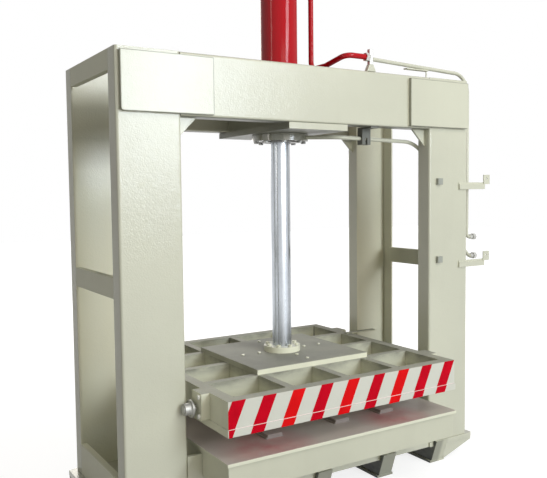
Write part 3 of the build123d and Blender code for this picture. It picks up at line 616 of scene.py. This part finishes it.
def round_edges(piece, width):
    """Rounds a piece's sharp edges and shades it smooth between them, with the flat faces kept flat."""
    bevel = piece.modifiers.new("rounded", "BEVEL")
    bevel.width = width
    bevel.segments = details().rings
    bevel.limit_method = "ANGLE"
    bevel.angle_limit = SHARP_ANGLE
    bevel.miter_outer = "MITER_ARC"
    bevel.use_clamp_overlap = True
    apply_modifiers(piece)
    take(piece)
    bpy.ops.object.shade_smooth_by_angle(angle=SMOOTH_ANGLE)
    weighted = piece.modifiers.new("flat faces", "WEIGHTED_NORMAL")
    weighted.keep_sharp = True
    apply_modifiers(piece)


def place_piece(piece, name, node, finish=None, replaces=True):
    """Names a finished piece, gives it its finish and puts it on a CAD node's body."""
    piece.name = name
    piece.data.name = name
    piece.data.materials.clear()
    piece.data.materials.append(material_for(finish or slot_of(node)))
    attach(piece, body_of_node(node))
    if replaces:
        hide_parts(node)


def carried_copy(node):
    """A merged copy of a CAD node's mesh, as a piece of its own."""
    source = frame["nodes"][node]
    deselect()
    piece = source.copy()
    piece.data = source.data.copy()
    piece.parent = None
    bpy.context.collection.objects.link(piece)
    edit_all(piece)
    bpy.ops.mesh.remove_doubles(threshold=MERGE_DISTANCE)
    bpy.ops.mesh.dissolve_limited(angle_limit=FLAT_ANGLE)
    bpy.ops.mesh.customdata_custom_splitnormals_clear()
    leave_edit()
    return piece


def softened_node(node, width, finish=None):
    """A CAD node's own form with its sharp edges rounded."""
    piece = carried_copy(node)
    round_edges(piece, width)
    place_piece(piece, f"{node}_dressed", node, finish)
    return piece


def soften_nodes(nodes, width, finish=None):
    """Rounds the edges of several CAD nodes in the same way."""
    for node in nodes:
        softened_node(node, width, finish)


def solids_of(node):
    """The box of each separate solid of a CAD node, as a low and a high corner."""
    mesh = frame["nodes"][node].data
    keys = [tuple(round(value, 5) for value in vertex.co) for vertex in mesh.vertices]
    group = {key: key for key in keys}

    def root(key):
        while group[key] != key:
            group[key] = group[group[key]]
            key = group[key]
        return key

    for polygon in mesh.polygons:
        first = root(keys[polygon.vertices[0]])
        for index in polygon.vertices[1:]:
            group[root(keys[index])] = first
    members = {}
    for key in group:
        members.setdefault(root(key), []).append(key)
    boxes = []
    for points in members.values():
        boxes.append((
            Vector([min(point[axis] for point in points) for axis in range(3)]),
            Vector([max(point[axis] for point in points) for axis in range(3)]),
        ))
    return sorted(boxes, key=lambda box: tuple(box[0]))


def select_faces(piece, test):
    """In edit mode, selects the faces whose normal passes a test."""
    bpy.ops.mesh.select_mode(type="FACE")
    bpy.ops.mesh.select_all(action="DESELECT")
    data = bmesh.from_edit_mesh(piece.data)
    for face in data.faces:
        face.select_set(test(face.normal))
    data.select_flush(True)
    bmesh.update_edit_mesh(piece.data)


def cylinder(radius, height, points, base=(0, 0, 0)):
    """A new upright cylinder on the middle of its base."""
    deselect()
    centre = Vector(base) + Vector((0, 0, height / 2))
    bpy.ops.mesh.primitive_cylinder_add(vertices=points, radius=radius, depth=height, location=centre)
    return bpy.context.object


def copy_to(piece, places):
    """One object holding a copy of a piece at each place; a place is a matrix."""
    deselect()
    copies = []
    for matrix in places:
        copy = piece.copy()
        copy.data = piece.data.copy()
        copy.data.transform(matrix)
        if matrix.determinant() < 0:
            copy.data.flip_normals()
        bpy.context.collection.objects.link(copy)
        copies.append(copy)
    bpy.data.objects.remove(piece)
    return joined_pieces(copies)


def at(point, direction, spin):
    """A matrix that puts a piece's base at a point, turned by a spin, with its +Z along a direction."""
    turn = Vector((0, 0, 1)).rotation_difference(Vector(direction)).to_matrix().to_4x4()
    return Matrix.Translation(Vector(point)) @ turn @ Matrix.Rotation(spin, 4, "Z")


def joined_pieces(pieces):
    """Several pieces made one object."""
    deselect()
    for piece in pieces:
        piece.select_set(True)
    bpy.context.view_layer.objects.active = pieces[0]
    if len(pieces) > 1:
        bpy.ops.object.join()
    return bpy.context.object


def on_shank(head, radius, length, rounding=0.0):
    """A bolt's head joined to its shank, which hangs below Z 0."""
    shank = cylinder(radius, length, SHANK_POINTS, (0, 0, -length))
    apply_place(shank)
    if rounding > 0:
        round_edges(shank, rounding)
    return joined_pieces([head, shank])


def hex_bolt(across, head, shank_radius, shank):
    """A hexagon head with a chamfered crown and a washer face, over its shank, base at Z 0."""
    crown_inset, washer_inset, rounding = across * 0.09, across * 0.06, across * 0.025
    crown_rise = 0.10
    piece = cylinder(across / math.sqrt(3), head, 6)
    apply_place(piece)
    bpy.ops.object.mode_set(mode="EDIT")
    select_faces(piece, lambda normal: normal.z > UPRIGHT)
    bpy.ops.mesh.inset(thickness=crown_inset)
    bpy.ops.transform.translate(value=(0, 0, head * crown_rise))
    select_faces(piece, lambda normal: normal.z < -UPRIGHT)
    bpy.ops.mesh.inset(thickness=washer_inset)
    leave_edit()
    piece.data.transform(Matrix.Diagonal((1, 1, 1 / (1 + crown_rise), 1)))
    round_edges(piece, rounding)
    return on_shank(piece, shank_radius, shank, shank_radius * 0.12)


def socket_bolt(radius, head, socket_across, shank_radius, shank):
    """A round socket head over its shank, base of the head at Z 0."""
    rim, depth, rounding = radius * 0.10, head * 0.55, radius * 0.07
    piece = cylinder(radius, head, HEAD_POINTS)
    apply_place(piece)
    bpy.ops.object.mode_set(mode="EDIT")
    select_faces(piece, lambda normal: normal.z > UPRIGHT)
    bpy.ops.mesh.inset(thickness=rim)
    bpy.ops.mesh.inset(thickness=radius - rim - socket_across / 2)
    bpy.ops.mesh.extrude_region_move(TRANSFORM_OT_translate={"value": (0, 0, -depth)})
    leave_edit()
    round_edges(piece, rounding)
    return on_shank(piece, shank_radius, shank)


def turned_profile(points, rounding, steps=POINTS_ROUND):
    """A part turned about Z from a closed profile of (radius, height) points."""
    deselect()
    bpy.ops.mesh.primitive_plane_add(size=1)
    piece = bpy.context.object
    edit_all(piece)
    bpy.ops.mesh.delete(type="VERT")
    data = bmesh.from_edit_mesh(piece.data)
    corners = [data.verts.new((radius, 0, height)) for radius, height in points]
    for first, second in zip(corners, corners[1:] + corners[:1]):
        data.edges.new((first, second))
    bmesh.update_edit_mesh(piece.data)
    bpy.ops.mesh.select_all(action="SELECT")
    bpy.ops.mesh.spin(steps=steps, angle=2 * math.pi, center=(0, 0, 0), axis=(0, 0, 1))
    bpy.ops.mesh.select_all(action="SELECT")
    bpy.ops.mesh.remove_doubles(threshold=MERGE_DISTANCE)
    bpy.ops.mesh.normals_make_consistent(inside=False)
    leave_edit()
    round_edges(piece, rounding)
    return piece


def bead_piece():
    """One stretch of rippled fillet bead along +X, leaning on +Y and +Z, a unit long and thick."""
    section = ((0.0, 0.0), (1.0, 0.0), (0.72, 0.45), (0.45, 0.72), (0.0, 1.0))
    ripple_swell, smooth = 1.14, math.radians(70)
    deselect()
    bpy.ops.mesh.primitive_circle_add(vertices=len(section), radius=1.0, fill_type="NGON")
    piece = bpy.context.object
    for vertex, (depth, rise) in zip(piece.data.vertices, section):
        vertex.co = (0.0, depth, rise)
    edit_all(piece)
    half = 0.5 / RIPPLES
    for number in range(2 * RIPPLES):
        swell = ripple_swell if number % 2 == 0 else 1 / ripple_swell
        bpy.ops.mesh.extrude_region_move(TRANSFORM_OT_translate={"value": (half, 0, 0)})
        bpy.ops.transform.resize(value=(1, swell, swell), center_override=(half * (number + 1), 0, 0))
    bpy.ops.mesh.select_all(action="SELECT")
    bpy.ops.mesh.normals_make_consistent(inside=False)
    leave_edit()
    bpy.ops.object.shade_smooth_by_angle(angle=smooth)
    return piece


def bead_places(start, end, first, second, leg):
    """The matrices that lay bead stretches along a corner, between the two plates' directions."""
    size = details()
    run = Vector(end) - Vector(start)
    stretches = max(1, round(run.length / (RIPPLES * size.ripple)))
    along, lean, rise = run / stretches, Vector(first) * size.bead * leg, Vector(second) * size.bead * leg
    places = []
    for number in range(stretches):
        corner = Vector(start) + along * number
        rows = [[along[axis], lean[axis], rise[axis], corner[axis]] for axis in range(3)]
        places.append(Matrix((*rows, (0.0, 0.0, 0.0, 1.0))))
    return places


def weld_beads(name, node, corners, finish=None, leg=1.0):
    """Lays rippled beads along some corners, on the body of the CAD node that they seam."""
    places = [place for corner in corners for place in bead_places(*corner, leg)]
    place_piece(copy_to(bead_piece(), places), name, node, finish, replaces=False)


def level_seats(node, height, upwards):
    """A seat for each solid of a CAD node, all at one height; a seat is a point and a direction."""
    seats = []
    for low, high in solids_of(node):
        middle = (low + high) / 2
        seats.append(((middle.x, middle.y, height), (0, 0, upwards)))
    return seats


def side_seats(node, head):
    """A seat for each solid of a CAD node, with its head's thickness inside the solid's outer end."""
    seats = []
    for low, high in solids_of(node):
        middle = (low + high) / 2
        side, outer = (1, high.x) if middle.x > 0 else (-1, low.x)
        seats.append(((outer - side * head, middle.y, middle.z), (side, 0, 0)))
    return seats


def set_copies(node, name, piece, seats, finish=None, spin=0.0):
    """Puts a copy of a piece on each seat, in place of a CAD node."""
    placed = copy_to(piece, [at(point, direction, spin) for point, direction in seats])
    place_piece(placed, name, node, finish)


# Operators


class PRESS_OT_finishes(bpy.types.Operator):
    """Makes the node materials and gives each CAD node its own"""

    bl_idname = "press.finishes"
    bl_label = "Finishes"

    haze_spots = (((-0.40, -0.51, 0.45), 0.26), ((0.32, -0.50, 0.45), 0.22))

    def enamels(self, finish):
        """Each enamel as a name, colour, dust, its share, peel, clear film, specular level and roughness."""
        enamel, grey, brown, gloss = finish.enamel, finish.grey_dust, finish.dust, finish.gloss
        satin, sheen = (0.5, 0.6), (0.30, 0.42)
        return (
            ("frame enamel", enamel, grey, 0.35, 0.9, gloss, 0.25, sheen),
            ("post enamel", enamel, grey, 0.35, 0.9, gloss, 0.25, sheen),
            # Painted light: the rear posts' enamel is a lighter copy of the frame enamel.
            ("rear post enamel", shifted(enamel, 0.20), grey, 0.35, 0.9, gloss, 0.25, sheen),
            ("crosshead enamel", enamel, grey, 0.35, 0.9, gloss, 0.25, sheen),
            ("cover enamel", shifted(enamel, 0.03), grey, 0.35, 0.7, gloss, 0.25, sheen),
            ("line enamel", shifted(enamel, 0.02), None, 0.0, 0.2, gloss, 0.35, sheen),
            ("foot enamel", enamel, grey, 0.35, 0.5, 0.2, 0.2, (0.38, 0.5)),
            ("bed enamel", enamel, brown, 0.95, 0.3, 0.10, 0.18, (0.45, 0.60)),
            # The bed rails take a darker grey-brown than the frame enamel.
            ("rail grime", finish.rail_grey, brown, 0.9, 0.3, 0.05, 0.2, (0.45, 0.60)),
            ("platen enamel", shifted(enamel, 0.17), grey, 0.88, 0.3, 0.0, 0.08, satin),
            ("centre plate satin", shifted(enamel, 0.22), shifted(grey, -0.10), 0.97, 0.2, 0.0, 0.12, satin),
            # The tie primer's top colour is lighter than its paint: a painted highlight on the ties' top faces.
            ("tie primer", shifted(enamel, 0.10), shifted(enamel, 0.35), 1.0, 0.3, 0.0, 0.25, satin),
            # Painted light: the rod flange's cream is a lighter copy of the frame enamel.
            ("flange cream", shifted(enamel, 0.48), shifted(grey, 0.5), 0.6, 0.2, 0.2, 0.3, (0.32, 0.42)),
            # Painted shade: the cylinder flange's enamel is a darker copy of the frame enamel.
            ("flange gloss", shifted(enamel, -0.55), None, 0.0, 0.25, 0.8, 0.4, (0.22, 0.32)),
            ("screw cream", shifted(enamel, 0.35), None, 0.0, 0.2, 0.3, 0.4, (0.25, 0.35)),
            ("weld grime", shifted(enamel, -0.55), None, 0.0, 0.3, 0.2, 0.35, (0.35, 0.5)),
            # Pinkish paint on the seam bead, pale enough to be partly a painted highlight along the seam.
            ("seam paint", finish.seam, None, 0.0, 0.3, 0.5, 0.4, (0.25, 0.35)),
            ("clamp enamel", finish.clamp, None, 0.0, 0.2, 0.15, 0.3, (0.42, 0.55)),
            ("square bolt enamel", shifted(finish.clamp, 1.3), None, 0.0, 0.2, 0.1, 0.3, (0.4, 0.5)),
            ("cylinder enamel", finish.red, None, 0.0, 0.15, 0.42, 0.0, (0.4, 0.5), 0.06),
        )

    def steels(self, finish):
        """Each steel's name, colour, roughness, metal share and grain."""
        bright, turned, upright = finish.bright_steel, (900.0, 30.0, 30.0), (30.0, 30.0, 900.0)
        return (
            ("roller steel", shifted(bright, -0.25), (0.38, 0.55), 0.85, turned),
            ("bolt steel", finish.plain_steel, (0.30, 0.5), 0.9, upright),
            ("dark steel", finish.dark_steel, (0.26, 0.45), 0.9, upright),
            ("screw steel", shifted(bright, 0.3), (0.42, 0.6), 0.5, upright),
            ("fitting steel", bright, (0.24, 0.42), 0.95, upright),
        )

    def keep(self, material):
        """Keeps a material under its name, with underscores for its spaces."""
        MATERIALS[material.name.replace(" ", "_")] = material

    def add_wear_and_painted_light(self, finish):
        """Adds what some enamels show only at their own places: wear and film, and painted shade, painted
        highlights and painted reflections.
        """
        enamel, grey = finish.enamel, finish.grey_dust
        # Painted shade on the posts' outer edges.
        for name in ("post_enamel", "rear_post_enamel"):
            shaded_outer_edges(MATERIALS[name], shifted(enamel, -0.14))
        # Painted dark and warm reflections on the rear posts' plates seen through the columns.
        painted_back_reflections(MATERIALS["rear_post_enamel"], finish.warm, shifted(enamel, -0.60))
        # Painted shade round the cover plates' edges.
        shaded_outline(MATERIALS["cover_enamel"], shifted(enamel, -0.55))
        # Painted shade inside the crosshead's channels and on its faces that look down or left.
        shaded_inside(MATERIALS["crosshead_enamel"], shifted(enamel, -0.62))
        # Painted shade on the feet's sides.
        shaded_foot_sides(MATERIALS["foot_enamel"], finish.foot_shade)
        # Painted shadow of the apron on the inner feet's fronts.
        shaded_fronts(MATERIALS["foot_enamel"], shifted(enamel, -0.40))
        red_haze(MATERIALS["bed_enamel"], finish.overspray, self.haze_spots)
        # Painted highlight on the bed top plate's front edge.
        painted_edge_highlight(MATERIALS["bed_enamel"], "bed_top_plate", shifted(enamel, 0.28))
        whitened_front(MATERIALS["platen_enamel"], finish.ground)
        # Painted shade in the platen's cells.
        shaded_cells(MATERIALS["platen_enamel"], finish.grime)
        # Painted shade on the centre plate's left part.
        shaded_left(MATERIALS["centre_plate_satin"], shifted(grey, -0.45))
        # Cream front edge of the centre plate, made lighter as a painted highlight.
        painted_edge_highlight(MATERIALS["centre_plate_satin"], "platen_centre_plate", shifted(enamel, 0.42))

    def execute(self, context):
        finish = finishes()
        for row in self.enamels(finish):
            self.keep(enamel_material(*row))
        for row in self.steels(finish):
            self.keep(steel_material(*row))
        for name, colour in (("crimson film", finish.crimson), ("orange film", finish.orange)):
            self.keep(film_material(name, colour))
        self.keep(chrome_material("rod chrome", finish.chrome))
        self.keep(rubber_material("seal rubber", finish.rubber))
        self.add_wear_and_painted_light(finish)
        for name, node in frame["nodes"].items():
            material = material_for(slot_of(name))
            if not node.material_slots:
                node.data.materials.append(material)
            for slot in node.material_slots:
                slot.material = material
        return {"FINISHED"}


class PRESS_OT_frame_plates(bpy.types.Operator):
    """Rounds the edges of the posts, ties, crosshead, feet and base"""

    bl_idname = "press.frame_plates"
    bl_label = "Frame plates"

    def execute(self, context):
        size = details()
        soften_nodes(("post_front_left", "post_front_right"), size.edge, "post_enamel")
        soften_nodes(("post_rear_left", "post_rear_right"), size.edge, "rear_post_enamel")
        soften_nodes(("column_ties_left", "column_ties_right"), size.edge, "tie_primer")
        soften_nodes(("crosshead_gussets", "outrigger_gussets", "lower_beams"), size.edge)
        crosshead = ("crosshead_channels", "crosshead_ribs", "mounting_plate")
        soften_nodes(crosshead, size.edge, "crosshead_enamel")
        soften_nodes(("feet", "foot_soles"), size.edge, "foot_enamel")
        softened_node("base_plates", size.thick_edge)
        softened_node("corner_covers", size.thick_edge, "cover_enamel")
        return {"FINISHED"}


class PRESS_OT_bed(bpy.types.Operator):
    """Rounds the edges of the bed's plates and rails"""

    bl_idname = "press.bed"
    bl_label = "Bed"

    def execute(self, context):
        size = details()
        soften_nodes(("bed_top_plate", "bed_aprons", "bed_webs"), size.edge)
        softened_node("bed_rails", size.edge, "rail_grime")
        return {"FINISHED"}


class PRESS_OT_platen(bpy.types.Operator):
    """Rounds the edges of the platen's plates, rails and ribs, and sets its bolts"""

    bl_idname = "press.platen"
    bl_label = "Platen"

    screw = {"across": 0.016, "head": 0.006, "shank_radius": 0.005, "shank": 0.025}
    screw_spin = 0.3

    def execute(self, context):
        edge = details().edge
        rails = ("platen_end_rails", "platen_side_rails", "platen_ribs")
        soften_nodes(("platen_press_plate", *rails, "striker_bar"), edge)
        softened_node("platen_centre_plate", edge, "centre_plate_satin")
        seats = level_seats("centre_plate_bolts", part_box("platen_centre_plate")[1].z, 1)
        screw = hex_bolt(**self.screw)
        set_copies("centre_plate_bolts", "plate_screws", screw, seats, "screw_cream", self.screw_spin)
        return {"FINISHED"}


class PRESS_OT_guides(bpy.types.Operator):
    """Models the guide blocks' bolts, the flanged rollers and their axles"""

    bl_idname = "press.guides"
    bl_label = "Guides"

    block_screw = {"across": 0.019, "head": 0.008, "shank_radius": 0.006, "shank": 0.028}
    axle_screw = {
        "radius": 0.015, "head": 0.004, "socket_across": 0.012, "shank_radius": 0.010, "shank": 0.0963,
    }
    collar_profile = ((0.0098, -0.0563), (0.0160, -0.0563), (0.0160, -0.0376), (0.0098, -0.0376))
    roller_profile = (
        (0.01005, 0.0), (0.0165, 0.0), (0.0175, 0.0015), (0.0330, 0.0015), (0.0345, 0.0),
        (0.0385, 0.0), (0.0385, 0.008), (0.0275, 0.008), (0.0260, 0.0095), (0.0260, 0.037),
        (0.0225, 0.037), (0.0215, 0.0355), (0.0150, 0.0355), (0.0140, 0.037), (0.01005, 0.037),
    )
    roller_rounding = 0.0006

    def set_roller(self, name):
        """Turns one roller, its flange towards the platen."""
        low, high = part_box(name)
        middle = (low + high) / 2
        side, inner = (1, low.x) if middle.x > 0 else (-1, high.x)
        roller = turned_profile(self.roller_profile, self.roller_rounding)
        set_copies(name, f"{name}_turned", roller, [((inner, middle.y, middle.z), (side, 0, 0))])

    def set_axles(self):
        """Sets the axles, each a socket head and shank with a collar."""
        collar = turned_profile(self.collar_profile, details().fine_edge, HEAD_POINTS)
        axle = joined_pieces([socket_bolt(**self.axle_screw), collar])
        set_copies("roller_axles", "axles_turned", axle, side_seats("roller_axles", self.axle_screw["head"]))

    def execute(self, context):
        softened_node("guide_blocks", details().edge)
        seats = side_seats("guide_block_bolts", self.block_screw["head"])
        set_copies("guide_block_bolts", "guide_screws", hex_bolt(**self.block_screw), seats, "screw_steel")
        for corner in CORNERS:
            self.set_roller(f"guide_roller_{corner}")
        self.set_axles()
        return {"FINISHED"}


class PRESS_OT_cylinder(bpy.types.Operator):
    """Finishes the cylinder, its rod and the flanges, and sets their bolts"""

    bl_idname = "press.cylinder"
    bl_label = "Cylinder"

    flange_screw = {"across": 0.024, "head": 0.010, "shank_radius": 0.008, "shank": 0.055}
    rod_screw = {
        "radius": 0.011, "head": 0.010, "socket_across": 0.012, "shank_radius": 0.007, "shank": 0.030,
    }

    def execute(self, context):
        edge = details().edge
        soften_nodes(("cylinder_barrel", "cylinder_end_cap", "gland", "piston_rod"), edge)
        softened_node("cylinder_flange", edge, "flange_gloss")
        softened_node("rod_flange", edge, "flange_cream")
        under = level_seats("cylinder_flange_bolts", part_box("cylinder_flange")[0].z, -1)
        set_copies("cylinder_flange_bolts", "flange_screws", hex_bolt(**self.flange_screw), under)
        over = level_seats("rod_flange_bolts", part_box("rod_flange")[1].z, 1)
        set_copies("rod_flange_bolts", "rod_screws", socket_bolt(**self.rod_screw), over, "screw_cream")
        return {"FINISHED"}


class PRESS_OT_lines(bpy.types.Operator):
    """Rounds the edges of the pipes, unions, line block, stand, strip, clamp and brackets"""

    bl_idname = "press.lines"
    bl_label = "Lines"

    pipes = ("pipe_red", "pipe_upper", "pipe_lower", "line_unions")
    fittings = ("line_block", "line_block_stand", "pipe_clip", "switch_brackets", "switch_tabs")
    hanger_share = 0.76

    def execute(self, context):
        size = details()
        soften_nodes((*self.pipes, *self.fittings), size.fine_edge)
        hanger = softened_node("pipe_hanger", size.fine_edge)
        low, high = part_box("pipe_hanger")
        edit_all(hanger)
        bpy.ops.transform.resize(value=(self.hanger_share, 1, 1), center_override=(low + high) / 2)
        leave_edit()
        softened_node("post_square_bolts", 2 * size.edge, "square_bolt_enamel")
        return {"FINISHED"}


class PRESS_OT_welds(bpy.types.Operator):
    """Lays beads at the covers, in the platen's cells, round the platen and along the bed's rails"""

    bl_idname = "press.welds"
    bl_label = "Welds"

    near = 0.0005
    end_margin = 0.01
    seam_leg = 0.36
    cover_leg = 0.5

    def cell_corners(self):
        """The upright corners of the platen's cells, between each rib or rail and its neighbours."""
        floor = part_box("platen_press_plate")[1].z
        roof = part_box("platen_end_rails")[1].z
        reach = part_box("platen_end_rails")[1].x - self.end_margin
        bars = solids_of("platen_ribs") + solids_of("platen_end_rails") + solids_of("platen_side_rails")
        corners = []
        for low, high in bars:
            for x, away_x in ((low.x, -1), (high.x, 1)):
                if abs(x) > reach:
                    continue
                for y, away_y in ((low.y, -1), (high.y, 1)):
                    for other_low, other_high in bars:
                        beside = other_low.x - self.near < x < other_high.x + self.near
                        touches = min(abs(other_low.y - y), abs(other_high.y - y)) < self.near
                        if touches and beside and other_high.x - other_low.x > 2 * (high.x - low.x):
                            corners.append(((x, y, floor), (x, y, roof), (away_x, 0, 0), (0, -away_y, 0)))
        return corners

    def foot_line(self, low, high, away):
        """A box's lower edge on one side, with the two directions that its bead leans on."""
        first, last = low.copy(), high.copy()
        axis = 0 if away[0] else 1
        first[axis] = last[axis] = (high if away[axis] > 0 else low)[axis]
        last.z = low.z
        return first, last, (*away, 0), (0, 0, 1)

    def rail_corners(self):
        """The long lower edges of the bed's rails."""
        corners = []
        for low, high in solids_of("bed_rails"):
            lengthwise = high.x - low.x > high.y - low.y
            for away in ((0, -1), (0, 1)) if lengthwise else ((-1, 0), (1, 0)):
                corners.append(self.foot_line(low, high, away))
        return corners

    def cover_corners(self):
        """The upright inner ends of the cover plates."""
        corners = []
        for low, high in solids_of("corner_covers"):
            side, x = (1, low.x) if low.x > 0 else (-1, high.x)
            wall, away = (high.y, -1) if low.y < 0 else (low.y, 1)
            corners.append(((x, wall, low.z), (x, wall, high.z), (-side, 0, 0), (0, away, 0)))
        return corners

    def execute(self, context):
        low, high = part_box("platen_end_rails")
        front = (self.foot_line(low, high, (0, -1)),)
        others = [self.foot_line(low, high, away) for away in ((-1, 0), (1, 0), (0, 1))]
        # The cover seams take the paler screw cream: a painted highlight along the covers' inner ends.
        weld_beads("cover_seams", "corner_covers", self.cover_corners(), "screw_cream", self.cover_leg)
        weld_beads("platen_welds", "platen_ribs", self.cell_corners(), "weld_grime")
        # The seam bead's pale pinkish paint is partly a painted highlight.
        weld_beads("platen_seam", "platen_ribs", front, "seam_paint", self.seam_leg)
        weld_beads("platen_side_seams", "platen_ribs", others, None, self.seam_leg)
        weld_beads("rail_welds", "bed_rails", self.rail_corners(), "rail_grime")
        return {"FINISHED"}


class PRESS_OT_stage(bpy.types.Operator):
    """Adds the pale floor, the soft lights and the camera at the photographed angle"""

    bl_idname = "press.stage"
    bl_label = "Stage"

    camera_place = Vector((-1.9754, -3.1062, 1.480))
    camera_yaw = math.radians(31.85)
    camera_pitch = math.radians(3.69)
    camera_roll = math.radians(0.64)
    focal_pixels = 706.7
    image_width = 547
    sensor_width = 36.0
    view_end = 60.0
    warm, cool, pale_blue = (1.0, 0.955, 0.86), (0.84, 0.92, 1.0), (0.90, 0.95, 1.0)
    lamps = (
        ("key", (-0.6, -8.5, 2.2), (0.0, 0.0, 1.1), (4.6, 3.4), warm),
        ("window", (2.62, -8.2, 2.85), (0.0, -0.3, 1.9), (2.25, 2.5), cool),
        ("upper", (3.5, -8.1, 4.75), (0.0, 0.0, 2.0), (3.0, 1.4), pale_blue),
        ("top", (0.8, -4.2, 5.2), (0.0, 0.0, 1.0), (4.0, 2.6), warm),
        ("left", (-6.5, -1.2, 3.4), (0.0, 0.0, 1.5), (0.6, 3.4), warm),
        ("back_fill", (1.5, 6.5, 3.0), (0.0, 0.0, 1.0), (3.5, 2.5), warm),
    )
    even_tint = (1.0, 0.985, 0.96, 1.0)
    floor_size, floor_drop = 40.0, 0.0005
    glow_near, glow_far = 1.8, 5.0

    def add_camera(self, context):
        """Sets the camera from its place, its three angles and its focal length."""
        camera_data = bpy.data.cameras.new("camera")
        camera = bpy.data.objects.new("camera", camera_data)
        context.collection.objects.link(camera)
        yaw, pitch, roll = self.camera_yaw, self.camera_pitch, self.camera_roll
        forward = Vector((math.sin(yaw) * math.cos(pitch), math.cos(yaw) * math.cos(pitch), -math.sin(pitch)))
        level = Vector((math.cos(yaw), -math.sin(yaw), 0.0))
        above = level.cross(forward)
        right = level * math.cos(roll) - above * math.sin(roll)
        up = level * math.sin(roll) + above * math.cos(roll)
        turn = Matrix((right, up, -forward)).transposed()
        camera.matrix_world = Matrix.Translation(self.camera_place) @ turn.to_4x4()
        camera_data.sensor_width = self.sensor_width
        camera_data.lens = self.sensor_width * self.focal_pixels / self.image_width
        camera_data.clip_end = self.view_end
        context.scene.camera = camera

    def add_lamp(self, context, name, place, aim, size, tint):
        """Adds one soft lamp that looks at its aim, with its power from the settings."""
        light_data = bpy.data.lights.new(name, "AREA")
        light_data.color = tint
        light_data.shape = "RECTANGLE"
        light_data.size, light_data.size_y = size
        light_data.energy = getattr(context.scene.press_stage, f"{name}_power")
        light = bpy.data.objects.new(name, light_data)
        context.collection.objects.link(light)
        light.location = place
        light.rotation_euler = (Vector(aim) - Vector(place)).to_track_quat("-Z", "Y").to_euler()

    def seen_directly(self, tree):
        """1 for rays from the camera, from mirrors and through glass."""
        path = tree.nodes.new("ShaderNodeLightPath")
        rays = ("Is Camera Ray", "Is Glossy Ray", "Is Transmission Ray")
        return greatest(tree, *(path.outputs[ray] for ray in rays))

    def when_seen(self, tree, hidden, seen):
        """One shader for light that falls on the press, another where it is seen directly."""
        inputs = {"Fac": self.seen_directly(tree), 1: hidden, 2: seen}
        return new_node(tree, "ShaderNodeMixShader", inputs).outputs["Shader"]

    def add_world(self, context):
        """Adds an even dim light that looks white."""
        world = bpy.data.worlds.new("studio")
        context.scene.world = world
        world.use_nodes = True
        tree = world.node_tree
        tree.nodes.clear()
        ambient = context.scene.press_stage.ambient
        even = new_node(tree, "ShaderNodeBackground", {"Color": self.even_tint, "Strength": ambient})
        white = new_node(tree, "ShaderNodeBackground", {"Color": WHITE, "Strength": 1.0})
        seen = self.when_seen(tree, even.outputs["Background"], white.outputs["Background"])
        new_node(tree, "ShaderNodeOutputWorld", {"Surface": seen})

    def add_floor(self, context):
        """Adds the floor, which keeps the press's shadow and fades to white."""
        stage = context.scene.press_stage
        deselect()
        bpy.ops.mesh.primitive_plane_add(size=self.floor_size, location=(0, 0, -self.floor_drop))
        floor = bpy.context.object
        floor.name = "floor"
        apply_place(floor)
        material, tree, shader = new_material("floor")
        feed(tree, shader, {"Base Color": (*stage.floor, 1.0), "Roughness": 0.7})
        place = object_coordinates(tree)
        distance = new_node(tree, "ShaderNodeVectorMath", {0: place}, operation="LENGTH").outputs["Value"]
        fading = remapped(tree, distance, self.glow_near, self.glow_far, stage.floor_glow, 1.0)
        glow = new_node(tree, "ShaderNodeEmission", {"Color": WHITE, "Strength": fading}).outputs["Emission"]
        paint = shader.outputs["BSDF"]
        glowing = new_node(tree, "ShaderNodeAddShader", {0: paint, 1: glow}).outputs["Shader"]
        output = next(node for node in tree.nodes if node.type == "OUTPUT_MATERIAL")
        feed(tree, output, {"Surface": self.when_seen(tree, paint, glowing)})
        floor.data.materials.append(material)

    def execute(self, context):
        self.add_camera(context)
        self.add_world(context)
        self.add_floor(context)
        for lamp in self.lamps:
            self.add_lamp(context, *lamp)
        context.scene.view_settings.view_transform = "Standard"
        return {"FINISHED"}


class PRESS_PT_sidebar(bpy.types.Panel):
    """Lists the press's operators and their settings"""

    bl_idname = "PRESS_PT_sidebar"
    bl_label = "Hydraulic press"
    bl_space_type = "VIEW_3D"
    bl_region_type = "UI"
    bl_category = "Press"

    def draw(self, context):
        scene = context.scene
        for group in (scene.press_finish, scene.press_detail, scene.press_stage):
            box = self.layout.box()
            for name in group.bl_rna.properties.keys():
                if name not in ("rna_type", "name"):
                    box.prop(group, name)
        column = self.layout.column(align=True)
        for operator in OPERATORS:
            column.operator(operator.bl_idname)


SETTINGS = (PressFinishSettings, PressDetailSettings, PressStageSettings)
OPERATORS = (
    PRESS_OT_finishes,
    PRESS_OT_frame_plates,
    PRESS_OT_bed,
    PRESS_OT_platen,
    PRESS_OT_guides,
    PRESS_OT_cylinder,
    PRESS_OT_lines,
    PRESS_OT_welds,
    PRESS_OT_stage,
)


def register():
    """Registers the settings, operators and panel."""
    for item in (*SETTINGS, *OPERATORS, PRESS_PT_sidebar):
        bpy.utils.register_class(item)
    bpy.types.Scene.press_finish = bpy.props.PointerProperty(type=PressFinishSettings)
    bpy.types.Scene.press_detail = bpy.props.PointerProperty(type=PressDetailSettings)
    bpy.types.Scene.press_stage = bpy.props.PointerProperty(type=PressStageSettings)


def unregister():
    """Removes what register added."""
    del bpy.types.Scene.press_stage
    del bpy.types.Scene.press_detail
    del bpy.types.Scene.press_finish
    for item in reversed((*SETTINGS, *OPERATORS, PRESS_PT_sidebar)):
        bpy.utils.unregister_class(item)


def main():
    """Registers the add-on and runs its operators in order."""
    register()
    for operator in OPERATORS:
        group, name = operator.bl_idname.split(".")
        getattr(getattr(bpy.ops, group), name)()
    deselect()


if __name__ == "__main__":
    main()
